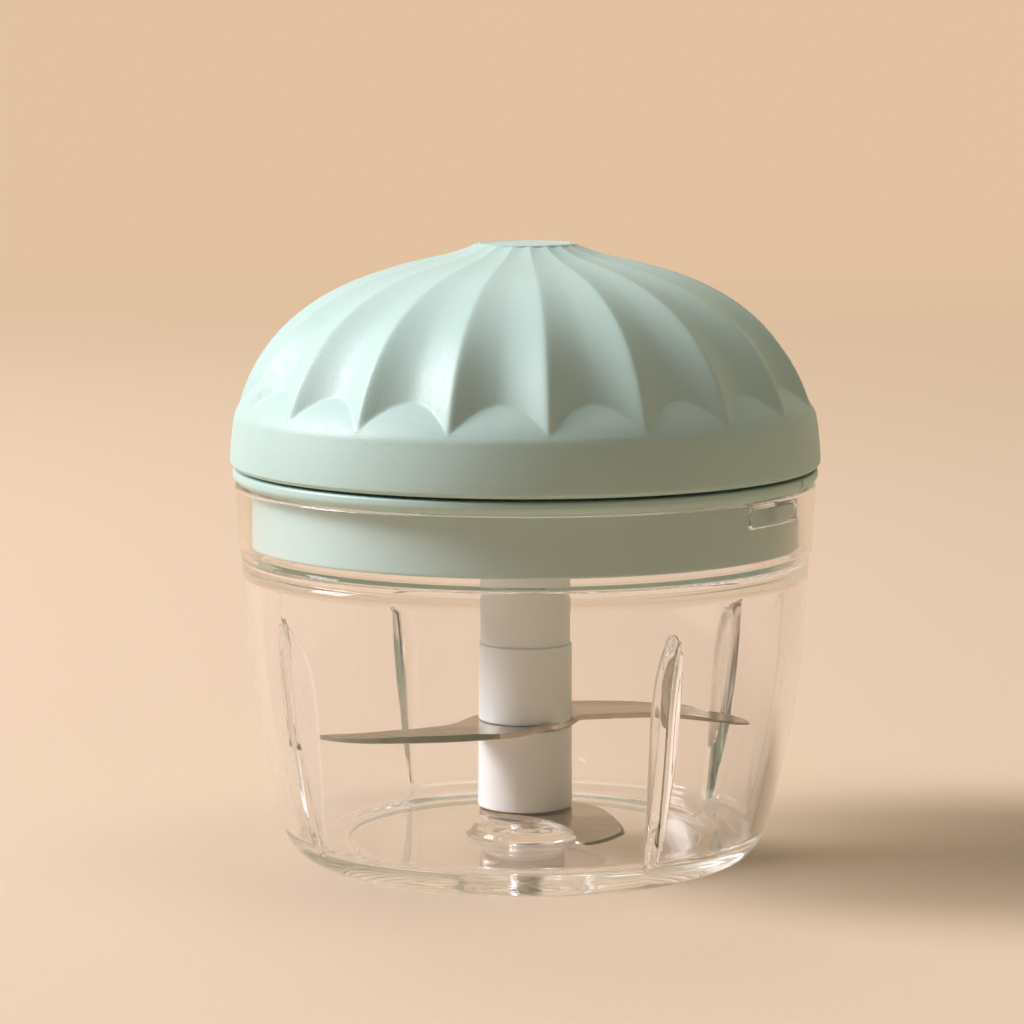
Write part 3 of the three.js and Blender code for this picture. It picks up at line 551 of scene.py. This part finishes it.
def lid_outline():
    """Once round the section, with fine rows on the skirt at the lugs' edges."""
    low = rounded([
        (TUBE_BORE, DECK_TOP, 0.2), (TUBE_BORE, TUBE_BOTTOM, 0.2), (TUBE_RADIUS, TUBE_BOTTOM, 0.5),
        (TUBE_RADIUS, DECK_BOTTOM, 0.8), (SKIRT_INNER, DECK_BOTTOM, 1.0),
        (SKIRT_INNER, SKIRT_BOTTOM, 0.6), (SKIRT_RADIUS, SKIRT_BOTTOM, 0.5), (SKIRT_RADIUS, 56),
    ])[1:-1]
    heights = (56, 57.6, 57.9, 57.97, 58.04, 58.2, 59, 60.2, 60.4, 60.46, 60.53, 60.7, 61.2)
    high = rounded([
        (SKIRT_RADIUS, 61.3), (SKIRT_RADIUS, FLANGE_BOTTOM, 0.15), (GROOVE_INNER, FLANGE_BOTTOM),
        (GROOVE_INNER, GROOVE_ROOF), (GROOVE_OUTER, GROOVE_ROOF), (GROOVE_OUTER, FLANGE_BOTTOM),
        (46.8, FLANGE_BOTTOM, 0.2), (47.38, 62.5, 0.25), (FLANGE_RADIUS, 62.95, 0.25),
        (FLANGE_RADIUS, DECK_TOP, 0.5), (GUIDE_RADIUS, DECK_TOP, 0.15), (GUIDE_RADIUS, GUIDE_TOP, 0.3),
        (GUIDE_INNER, GUIDE_TOP, 0.3), (GUIDE_INNER, DECK_TOP, 0.5), (TUBE_BORE, DECK_TOP),
    ])[1:]
    return low + [(SKIRT_RADIUS, z) for z in heights] + high


def make_lid():
    line = lid_outline()

    def outline_at(angle):
        lug = min(abs(bearing_gap(angle, a)) for a in POCKET_ANGLES) - LUG_HALF_ANGLE
        side = smooth_step(LUG_SIDE_SOFT, -LUG_SIDE_SOFT, lug)
        notch = smooth_step(NOTCH_HALF, NOTCH_FLAT, abs(bearing_gap(angle, NOTCH_ANGLE)))
        made = []
        for r, z in line:
            if r == SKIRT_RADIUS and 57 < z < 61.25:
                above = smooth_step(LUG_BOTTOM - LUG_SOFT, LUG_BOTTOM + LUG_SOFT, z)
                below = smooth_step(LUG_TOP + LUG_SOFT, LUG_TOP - LUG_SOFT, z)
                r += LUG_REACH * side * above * below
            elif r > GROOVE_OUTER + 0.1:
                r = min(r, FLANGE_RADIUS - NOTCH_DEPTH * notch)
            made.append((r, z))
        return made

    lug_edges = [(a + side * LUG_HALF_ANGLE) % 360 for a in POCKET_ANGLES for side in (-1, 1)]
    angles = set(angle_list(AROUND)) | set(angle_list(1, lug_edges, (0, 0.06, 0.13, 0.25)))
    angles |= set(angle_list(1, (NOTCH_ANGLE,), (0, 0.2, 0.3, 0.4, 0.5, 0.65)))
    shaped("lid_body", sorted(angles), outline_at, "lid", smooth_mint, "lid_base")


make_lid()


PLANET_CIRCLE, PLANET_POST_RADIUS, PLANET_POST_BORE, PLANET_POST_TOP = 15, 3.4, 2.3, 65.1
COVER_CIRCLE, COVER_POST_TOP = 16.6, 71.6
RING_CIRCLE, RING_POST_BOTTOM = 32.6, 73.7
SCREW_POST_RADIUS, SCREW_BORE = 3, 1.7
POST_SINK = 0.6  # how far a post goes into the shell


def post(mesh_data, circle, angle, radius, bore, bottom, top_at):
    """A round post with a bore, standing off the axis. Its top may follow a surface."""
    count = 40
    turn = heading(angle)
    centre = Vector((circle * math.cos(turn), circle * math.sin(turn)))
    edges = ((bore, False), (radius, False), (radius, True), (bore, True))
    rings = [[] for _ in edges]
    for i in range(count):
        way = 2 * math.pi * i / count
        for ring, (size, is_top) in zip(rings, edges):
            x, y = centre.x + size * math.cos(way), centre.y + size * math.sin(way)
            z = top_at(math.hypot(x, y)) if is_top else bottom
            ring.append(mesh_data.verts.new((x * MM, y * MM, z * MM)))
    for a, b in zip(rings, rings[1:] + rings[:1]):
        for i in range(count):
            k = (i + 1) % count
            mesh_data.faces.new((a[i], a[k], b[k], b[i]))


def make_posts():
    mesh_data = bmesh.new()
    for angle in (0, 120, 240):
        post(mesh_data, PLANET_CIRCLE, angle, PLANET_POST_RADIUS, PLANET_POST_BORE, DECK_TOP,
             lambda r: PLANET_POST_TOP)
        post(mesh_data, COVER_CIRCLE, angle + 60, SCREW_POST_RADIUS, SCREW_BORE, DECK_TOP,
             lambda r: COVER_POST_TOP)
    finished("lid_posts", mesh_data, "lid", [mint], "lid_base")


make_posts()

turned("seal_ring", [
    (45.1, FLANGE_BOTTOM, 0.15), (45.9, FLANGE_BOTTOM, 0.15), (45.9, 62.8, 0.3), (45.1, 62.8, 0.3),
], "seal", silicone, "lid_seal", count=AROUND)


# Dome: fluted body with sharp ridges, standing in a plain band

DOME_TOP, CREASE = 100.2, 73.1
DOME_WALL = 2.4
DOME_BORE, DOME_BOTTOM, CAVITY_FOOT = 45.4, 64.5, 70.5
CAVITY_STEP, CAVITY_INNER, CAVITY_LOW = 6, 9.5, 74
DISC_RADIUS, CAP_SEAT, CAP_RADIUS = 8.1, 7.7, 7.66
FLUTES = 19
FLUTE_ANGLE = 4.3
FLUTE_DEPTH = 0.061
RIDGE_ROUND = 0.045
FLUTE_FADE, FADE_BOTTOM, FADE_TOP = 0.3, 79, 96
SHOULDER_FOOT, SHOULDER_TOP = 73.72, 80.1
SHOULDER_SOFT = 0.25

ridge_line = bezier([(DISC_RADIUS, DOME_TOP), (10.1, 99.27), (13.1, 98.4)], 12)[:-1] + bezier(
    [(13.1, 98.4), (18.1, 96.96), (41.72, 94.65), (46.85, CREASE)], 150)
shoulder_line = bezier([(47.2, CREASE), (45.3, 76.7), (39.6, SHOULDER_TOP)], 60)


def radius_on(line, height):
    """Radius of a line at a height. The line runs one way in height."""
    for (r, z), (other_r, other_z) in zip(line, line[1:]):
        if min(z, other_z) <= height <= max(z, other_z):
            return r + (other_r - r) * (height - z) / (other_z - z)
    return 0


def flute_share(angle):
    """0 on a ridge, 1 in the middle of a flute."""
    place = (angle - FLUTE_ANGLE) / 360 * FLUTES % 1
    away = min(place, 1 - place)
    soft = math.sqrt(away ** 2 + RIDGE_ROUND ** 2) - RIDGE_ROUND
    return 4 * soft * (1 - soft)


def smooth_max(a, b, reach):
    """The larger of two numbers, rounded over where they are closer than reach."""
    return max(a, b) + max(reach - abs(a - b), 0) ** 2 / (4 * reach)


def skin_radius(angle, height):
    """Radius of the flutes, or of the shoulder where it stands out beyond them."""
    depth = FLUTE_DEPTH * (1 - FLUTE_FADE * smooth_step(FADE_BOTTOM, FADE_TOP, height))
    fluted = radius_on(ridge_line, height) * (1 - depth * flute_share(angle))
    fluted = max(fluted, DISC_RADIUS)
    if height > SHOULDER_TOP:
        return fluted
    return smooth_max(fluted, radius_on(shoulder_line, height), SHOULDER_SOFT)


def crossing(angle):
    """Height at which a flute runs out on the shoulder."""
    low, high = SHOULDER_FOOT, SHOULDER_TOP
    for _ in range(30):
        middle = (low + high) / 2
        fluted = radius_on(ridge_line, middle) * (1 - FLUTE_DEPTH * flute_share(angle))
        if fluted > radius_on(shoulder_line, middle):
            high = middle
        else:
            low = middle
    return high


def dome_outside(angle):
    """From the disc's edge down over the flute, the arch and the shoulder."""
    meet = crossing(angle)
    steps = [0.002, 0.004, 0.007, 0.012, 0.02, 0.03, 0.045, 0.065, 0.09]
    steps += [0.12 + 0.06 * i for i in range(9)]
    steps += [0.66, 0.71, 0.76, 0.82, 0.87, 0.91, 0.94, 0.96, 0.975, 0.987, 0.995]
    upper = [p for p in ridge_line if p[1] > meet]
    heights = [along(upper, share)[1] for share in steps] + [meet]
    heights += [SHOULDER_FOOT + (meet - SHOULDER_FOOT) * share
                for share in (0.96, 0.9, 0.8, 0.66, 0.5, 0.34, 0.2)]
    edge = [(DISC_RADIUS - 0.12, DOME_TOP), (DISC_RADIUS - 0.04, DOME_TOP - 0.02)]
    return edge + [(skin_radius(angle, z), z) for z in heights]


def dome_band():
    """From the crease down the band, round its lower edge and up the bore."""
    return rounded([
        (45, 76.6), (47.2, CREASE, 0.65), (47.7, 69.9, 1.5), (47.97, 66.9, 1.2), (48, 65.5, 0.3),
        (47.98, 65.02, 0.25), (47.6, 64.85, 0.1), (47.45, DOME_BOTTOM, 0.2), (DOME_BORE, DOME_BOTTOM, 0.3),
        (DOME_BORE, CAVITY_FOOT),
    ])[1:-1]


def cavity_line():
    """The valley of the flutes moved in by the wall."""
    coarse = [p for p in ridge_line[::CAVITY_STEP] if p[0] > CAVITY_INNER and p[1] > CAVITY_LOW]
    made = []
    for before, here, after in zip(coarse, coarse[1:], coarse[2:]):
        run, drop = after[0] - before[0], before[1] - after[1]
        length = math.hypot(run, drop)
        valley = here[0] * (1 - FLUTE_DEPTH)
        made.append((valley - DOME_WALL * drop / length, here[1] - DOME_WALL * run / length))
    return [p for p in made if p[1] > CREASE]


def dome_inside():
    """From the bore up under the flutes, round the neck for the bush and out through the cap's seat."""
    cavity = cavity_line()
    core = rounded([
        cavity[0], (8.2, cavity[0][1] + 0.1, 0.6), (8.2, 82.1, 0.3), (6, 82.1, 0.2), (6, 91.3, 0.2),
        (2.3, 91.3, 0.2), (2.3, 94, 0.2), (5.4, 94, 0.2), (5.4, 98.9, 0.2), (CAP_SEAT, 98.9, 0.1),
        (CAP_SEAT, DOME_TOP, 0.1), (DISC_RADIUS, DOME_TOP),
    ])[1:-1]
    return [(DOME_BORE, CAVITY_FOOT)] + cavity[::-1] + core


def make_dome():
    band, inside = dome_band(), dome_inside()
    ridges = [FLUTE_ANGLE + i * 360 / FLUTES for i in range(FLUTES)]
    offsets = (0, 0.14, 0.3, 0.5, 0.8, 1.2, 1.8, 2.7, 3.8, 5.1, 6.5, 8.0, 180 / FLUTES)
    angles = sorted({round((r + side * o) % 360, 4) for r in ridges for o in offsets for side in (-1, 1)})
    shaped("dome_body", thinned(angles, 0.01), lambda a: dome_outside(a) + band + inside, "dome",
           mint, "dome_shell")

    cavity = cavity_line()
    mesh_data = bmesh.new()
    for angle in (45, 135, 225, 315):
        post(mesh_data, RING_CIRCLE, angle, SCREW_POST_RADIUS, SCREW_BORE, RING_POST_BOTTOM,
             lambda r: radius_on([(z, x) for x, z in cavity], r) + POST_SINK)
    finished("dome_bosses", mesh_data, "dome", [mint], "dome_shell")


make_dome()

turned("cap_disc", [
    (0, 98.3), (4.9, 98.3, 0.1), (4.9, 99.2, 0.1), (CAP_RADIUS, 99.2, 0.1), (CAP_RADIUS, 100.3, 0.1),
    (7.25, 100.3, 0.1), (6.9, 100.18, 0.15), (0, 100.16),
], "dome", mint, "top_cap", False)


# Rotor: hub, core and blades, with the pivot and the shaft's bearing and clip

HUB_BORE, HUB_RADIUS, HUB_FOOT_RADIUS = 5.3, 7.66, 7.75
COLLAR_RADIUS, COLLAR_BOTTOM, COLLAR_TOP = 7.36, 35.14, 52.9
COLLAR_SEAT, SOCKET_FLOOR, SOCKET_RADIUS, SOCKET_CHAMFER = 40.3, 43.9, 3.821, 0.5
ROTOR_BOTTOM = 6.11
SHAFT_BORE = 3.5

turned("hub_sleeve_low", [
    (HUB_BORE, 8.2, 0.1), (HUB_FOOT_RADIUS, 8.2, 0.35), (HUB_RADIUS, 21.44, 0.3), (HUB_BORE, 21.44, 0.1),
], "rotor", white, "hub_lower")
turned("hub_sleeve_high", [
    (HUB_BORE, 22.46, 0.1), (HUB_RADIUS, 22.46, 0.3), (HUB_RADIUS, 35.12, 0.22), (HUB_BORE, 35.12, 0.1),
], "rotor", white, "hub_upper")


def make_collar():
    """The collar, with the hexagonal socket for the lid's shaft in its top."""
    def outline_at(angle):
        corner = (angle + 30) % 60 - 30
        flat = SOCKET_RADIUS * math.cos(math.radians(30)) / math.cos(math.radians(30 - abs(corner)))
        return rounded([
            (0, COLLAR_SEAT), (HUB_BORE, COLLAR_SEAT, 0.1), (HUB_BORE, COLLAR_BOTTOM, 0.1),
            (COLLAR_RADIUS, COLLAR_BOTTOM, 0.03), (COLLAR_RADIUS, COLLAR_TOP, 0.45),
            (flat + SOCKET_CHAMFER, COLLAR_TOP, 0.1), (flat, COLLAR_TOP - SOCKET_CHAMFER, 0.1),
            (flat, SOCKET_FLOOR, 0.1), (0, SOCKET_FLOOR),
        ])

    shaped("collar_body", angle_list(96, tuple(range(0, 360, 60)), (0, 0.8, 1.8)), outline_at, "rotor",
           white, "hub_collar", False)


make_collar()

turned("core_tube", [
    (0, 26.3), (3.5, 26.3, 0.1), (3.5, ROTOR_BOTTOM, 0.1), (6.6, ROTOR_BOTTOM, 0.15), (6.6, 6.7, 0.15),
    (5, 6.7, 0.1), (5, 40, 0.2), (0, 40),
], "rotor", acetal, "rotor_core", False, 64)
turned("pivot_bush_body", [
    (0, 24.8), (2.3, 24.8, 0.1), (2.3, ROTOR_BOTTOM, 0.1), (3.2, ROTOR_BOTTOM, 0.1), (3.2, 25.7, 0.2),
    (0, 25.7),
], "rotor_seat", brass, "pivot_bush", False, 48)
turned("pivot_pin_body", [
    (0, 2.5), (2, 2.5, 0.1), (2, 23.9, 0.3), (1.4, 24.5, 0.2), (0, 24.5),
], "bowl", bright_steel, "pivot_pin", False, 48)
turned("bearing_body", [
    (SHAFT_BORE, TUBE_BOTTOM, 0.1), (5.1, TUBE_BOTTOM, 0.15), (5.1, 64.3, 0.1), (6.5, 64.3, 0.1),
    (6.5, 65.1, 0.1), (SHAFT_BORE, 65.1, 0.1),
], "lid", brass, "shaft_bearing", True, 64)
turned("clip_ring", [
    (SHAFT_BORE, 54.4, 0.1), (5, 54.4, 0.1), (5, 55.2, 0.1), (SHAFT_BORE, 55.2, 0.1),
], "drive", bright_steel, "shaft_clip", True, 64)


BLADE_THICKNESS = 0.9
BLADE_EDGE = 0.12
# Bevel faces wider than GROUND_LEAST get the ground steel, whose dark colour is a painted reflection.
GROUND_LEAST = 0.3  # a wider bevel than this looks ground
THIN_FROM, THIN_SHARE = 0.55, 0.65
ARM_START, ARM_END = 7.7, 9.2
RAISED_LEFT, RAISED_RIGHT = -3, 7
CUTS_ACROSS = (-32, -28, -24, -20, -16, -12, -8, -5, -3, -1, 1, 3, 5, 7, 7.7, 8.2, 8.7, 9.2,
               12, 18, 24, 30, 34)
CUTS_ALONG = (-20, -17, -14, -11.5, -10, -9.2, -8.6, -8.1, -7.7, -7.3, -6.8, -6.2, -5,
              5, 6.2, 6.8, 7.3, 7.7, 8.1, 8.6, 9.2)


def bend(y, slope, rises):
    """How far a blade's face leaves the level of the hub at a depth y."""
    def soft(away):
        return 0.5 * (away + math.sqrt(away ** 2 + 1)) - 0.5 * math.exp(-abs(away))

    front, back = soft(-y - HUB_RADIUS), soft(y - HUB_RADIUS)
    return slope * (rises * back - front)


def blade(name, outline, bottom, angle, rises, raised, bevel_at, replaced):
    """A plate cut to an outline, with a ground bevel on its cutting edges. Where the bevel is wide its
    steel is darker, a painted reflection of the shaded lid.

    It bends down in front of the hub by angle, and behind it up by the share rises of that.
    It thins towards its ends, and its right arm stands raised.
    """
    reach = max(math.hypot(*p) for p in outline)
    slope = math.tan(math.radians(angle))
    count = len(outline)
    points = [Vector(p) for p in outline]
    mesh_data = bmesh.new()
    levels = []
    for height, inset_share in ((0, 0.0), (BLADE_EDGE, 0.0), (BLADE_THICKNESS, 1.0)):
        ring = []
        for i, p in enumerate(points):
            way = (points[(i + 1) % count] - points[i - 1]).normalized()
            inward = Vector((-way.y, way.x))
            place = p + inward * bevel_at(p) * inset_share
            ring.append(mesh_data.verts.new((place.x, place.y, height)))
        levels.append(ring)
    # Wide bevel faces take the second material, the ground steel darkened by a painted reflection.
    for low, high, is_bevel in ((levels[0], levels[1], 0), (levels[1], levels[2], 1)):
        for i in range(count):
            k = (i + 1) % count
            face = mesh_data.faces.new((low[i], low[k], high[k], high[i]))
            face.material_index = is_bevel if bevel_at(points[i]) > GROUND_LEAST else 0
    mesh_data.faces.new(levels[0])
    mesh_data.faces.new(levels[2])
    cuts = [((x, 0, 0), (1, 0, 0)) for x in CUTS_ACROSS] + [((0, y, 0), (0, 1, 0)) for y in CUTS_ALONG]
    for place, normal in cuts:
        bmesh.ops.bisect_plane(mesh_data, geom=mesh_data.verts[:] + mesh_data.edges[:] + mesh_data.faces[:],
                               plane_co=place, plane_no=normal)
    bmesh.ops.triangulate(mesh_data, faces=[f for f in mesh_data.faces if len(f.verts) > 4])
    for vertex in mesh_data.verts:
        x, y, z = vertex.co
        left = 1 - THIN_SHARE * smooth_step(THIN_FROM, 1, math.hypot(x, y) / reach)
        vertex.co.z = bottom + z * left + bend(y, slope, rises)
        right_arm = smooth_step(ARM_START, ARM_END, math.hypot(x, y))
        right_arm *= smooth_step(RAISED_LEFT, RAISED_RIGHT, x)
        vertex.co.z += raised * right_arm
        vertex.co *= MM
    finished(name, mesh_data, "rotor", [blade_steel, ground_steel_painted_reflection], replaced, 20)


def closed_spline(points, count):
    """A smooth closed curve through points, run so that its inside is on the left."""
    looped = spline([points[-1], *points, points[0], points[1]], count)
    made = looped[count:-count - 1]
    area = sum(a[0] * b[1] - b[0] * a[1] for a, b in zip(made, made[1:] + made[:1]))
    return made if area > 0 else made[::-1]


# Blade outlines, as shares of their reach, with y to the back
BLADE_REACH = 37.0
blade_plan = [
    (0.99, -0.13), (0.945, 0.01), (0.83, 0.15), (0.78, 0.225), (0.69, 0.28), (0.56, 0.28),
    (0.215, 0.285), (-0.05, 0.235), (-0.215, 0.08), (-0.32, -0.13), (-0.43, -0.215),
    (-0.56, -0.25), (-0.71, -0.275), (-0.9, -0.28), (-0.84, -0.345), (-0.7, -0.385),
    (-0.57, -0.388), (-0.43, -0.38), (-0.29, -0.362), (-0.11, -0.32), (0.02, -0.27),
    (0.12, -0.2), (0.2, -0.05), (0.34, -0.005), (0.56, 0.03), (0.7, -0.005), (0.84, -0.085),
    (0.92, -0.14),
]
HOOK_REACH = 23
hook_plan = [
    (0.43, -0.94), (0.55, -0.86), (0.67, -0.7), (0.69, -0.62), (0.67, -0.43), (0.6, -0.2),
    (0.48, 0.02), (0.3, 0.2), (0, 0.31), (-0.25, 0.22), (-0.32, 0), (-0.3, -0.16),
    (-0.08, -0.31), (0.09, -0.4), (0.24, -0.55), (0.32, -0.68), (0.35, -0.8), (0.34, -0.89),
]


def scaled(plan, reach):
    return [(x * reach, y * reach) for x, y in plan]


def long_bevel(p):
    """Ground on the front edge of the left arm and on the back edge of the right one, where the darker
    steel paints a reflection.
    """
    left = smooth_step(-4, -8, p.x) * smooth_step(-10.6, -11.6, p.y)
    right = smooth_step(17, 21, p.x) * smooth_step(3.5, 5, p.y)
    return BLADE_EDGE + 0.8 * max(left, right)


def hook_bevel(p):
    """Ground on the inner edge of the hook's end, where the darker steel paints a reflection."""
    return BLADE_EDGE + 0.5 * smooth_step(8.5, 10.5, p.x) * smooth_step(-2, -5, p.y)


blade("blade_long", closed_spline(scaled(blade_plan, BLADE_REACH), 5), bottom=21.5, angle=5, rises=1,
      raised=0.75, bevel_at=long_bevel, replaced="blade_upper")
blade("blade_hook", closed_spline(scaled(hook_plan, HOOK_REACH), 5), bottom=7.0, angle=4, rises=0,
      raised=0, bevel_at=hook_bevel, replaced="blade_lower")


# CAD nodes that stay get the finish of their slot

finishes = {
    "mint_shell": mint, "white_hub": white, "gear_plastic": acetal, "seal_silicone": silicone,
    "blade_steel": blade_steel, "bright_steel": bright_steel, "brass_bush": brass, "clear_bowl": clear,
}
for subpart in frame["record"]["subparts"]:
    kept = frame["nodes"][subpart["node"]]
    kept.data.materials.clear()
    kept.data.materials.append(finishes[subpart["material_slot"]])


# Floor and world

FLOOR_COLOR = (0.74, 0.565, 0.41)
FLOOR_REACH, FADE_START = 1.6, 0.3
FLOOR_DROP = 0.0001
BACKDROP, OVERHEAD = (0.765, 0.54, 0.355), (0.42, 0.36, 0.29)
FILL_COLOR = (1.0, 0.8, 0.44)


def add_floor():
    """A plain floor under the object, which fades into the backdrop."""
    mesh_data = bmesh.new()
    bmesh.ops.create_circle(mesh_data, cap_ends=True, segments=96, radius=FLOOR_REACH)
    mesh = mesh_of("floor", mesh_data)
    floor = bpy.data.objects.new("floor", mesh)
    floor.location.z = -FLOOR_DROP
    bpy.context.scene.collection.objects.link(floor)
    material, tree = new_material("floor")
    place = node(tree, "TexCoord").outputs["Object"]
    away = node(tree, "VectorMath", {"operation": "LENGTH"}, _0=place).outputs["Value"]
    fade = node(tree, "MapRange", {"interpolation_type": "SMOOTHSTEP"}, Value=away,
                From_Min=FADE_START, From_Max=FLOOR_REACH, To_Min=0.0, To_Max=1.0).outputs["Result"]
    grain = noise(tree, FLOOR_SCALE, 3)
    bump = node(tree, "Bump", Height=grain, Strength=0.4, Distance=0.05 * MM)
    surface = node(tree, "BsdfPrincipled", Base_Color=shaded(tree, grain, FLOOR_COLOR, 0.012),
                   Roughness=0.75, Normal=bump.outputs["Normal"])
    output(tree, mix(tree, fade, surface, node(tree, "BsdfTransparent")))
    mesh.materials.append(material)


def add_world():
    """A backdrop for the camera, gloss and clear plastic, and a soft fill light for the rest.

    Gloss and clear plastic see the backdrop dimmer at the sides and in front. The fill comes from the
    right and from behind.
    """
    world = bpy.data.worlds.new("world")
    bpy.context.scene.world = world
    world.use_nodes = True
    tree = world.node_tree
    tree.nodes.clear()
    way = node(tree, "SeparateXYZ", Vector=node(tree, "TexCoord").outputs["Generated"])
    across, depth, height = way.outputs
    color = ramp(tree, height, (0.15, BACKDROP), (0.85, OVERHEAD))
    front = node(tree, "MapRange", Value=depth, From_Min=-0.9, From_Max=0.0, To_Min=0.85, To_Max=1.0)
    aside = node(tree, "Math", {"operation": "ABSOLUTE"}, _0=across).outputs[0]
    side = node(tree, "MapRange", Value=aside, From_Min=0.5, From_Max=0.9, To_Min=1.0, To_Max=0.45)
    path = node(tree, "LightPath")
    mirrored = calculated(tree, "MULTIPLY", front.outputs["Result"], side.outputs["Result"])
    bright = calculated(tree, "MAXIMUM", mirrored, path.outputs["Is Camera Ray"])
    shown = node(tree, "Background", Color=color, Strength=bright)
    sideways = calculated(tree, "MULTIPLY", across, 0.4)
    level = node(tree, "Math", {"operation": "MULTIPLY_ADD", "use_clamp": True}, _0=depth, _1=0.2,
                 _2=sideways).outputs[0]
    fill = node(tree, "Background", Color=FILL_COLOR + (1,), Strength=level)
    seen = path.outputs["Is Camera Ray"]
    for other in ("Is Glossy Ray", "Is Transmission Ray"):
        seen = calculated(tree, "MAXIMUM", seen, path.outputs[other])
    node(tree, "OutputWorld", Surface=mix(tree, seen, fill, shown).outputs[0])


add_camera()
add_floor()
add_world()
add_lamp("key_lamp", 176, 32, (0.8, 1.0), 69, DAYLIGHT)
add_lamp("soft_lamp", 190, 48, (1.0, 1.0), 15, DAYLIGHT)
add_lamp("back_lamp", 100, 55, (1.2, 1.2), 8, (1.0, 0.96, 0.88))
add_lamp("top_lamp", 0, 75, (1.2, 1.2), 10, (1.0, 0.97, 0.92))

bpy.context.scene.view_settings.view_transform = "Standard"

# Light is followed far enough to get out of the clear bowl's ribs and foot again
BOUNCES = 64
bpy.context.scene.cycles.max_bounces = BOUNCES
bpy.context.scene.cycles.glossy_bounces = BOUNCES
bpy.context.scene.cycles.transmission_bounces = BOUNCES
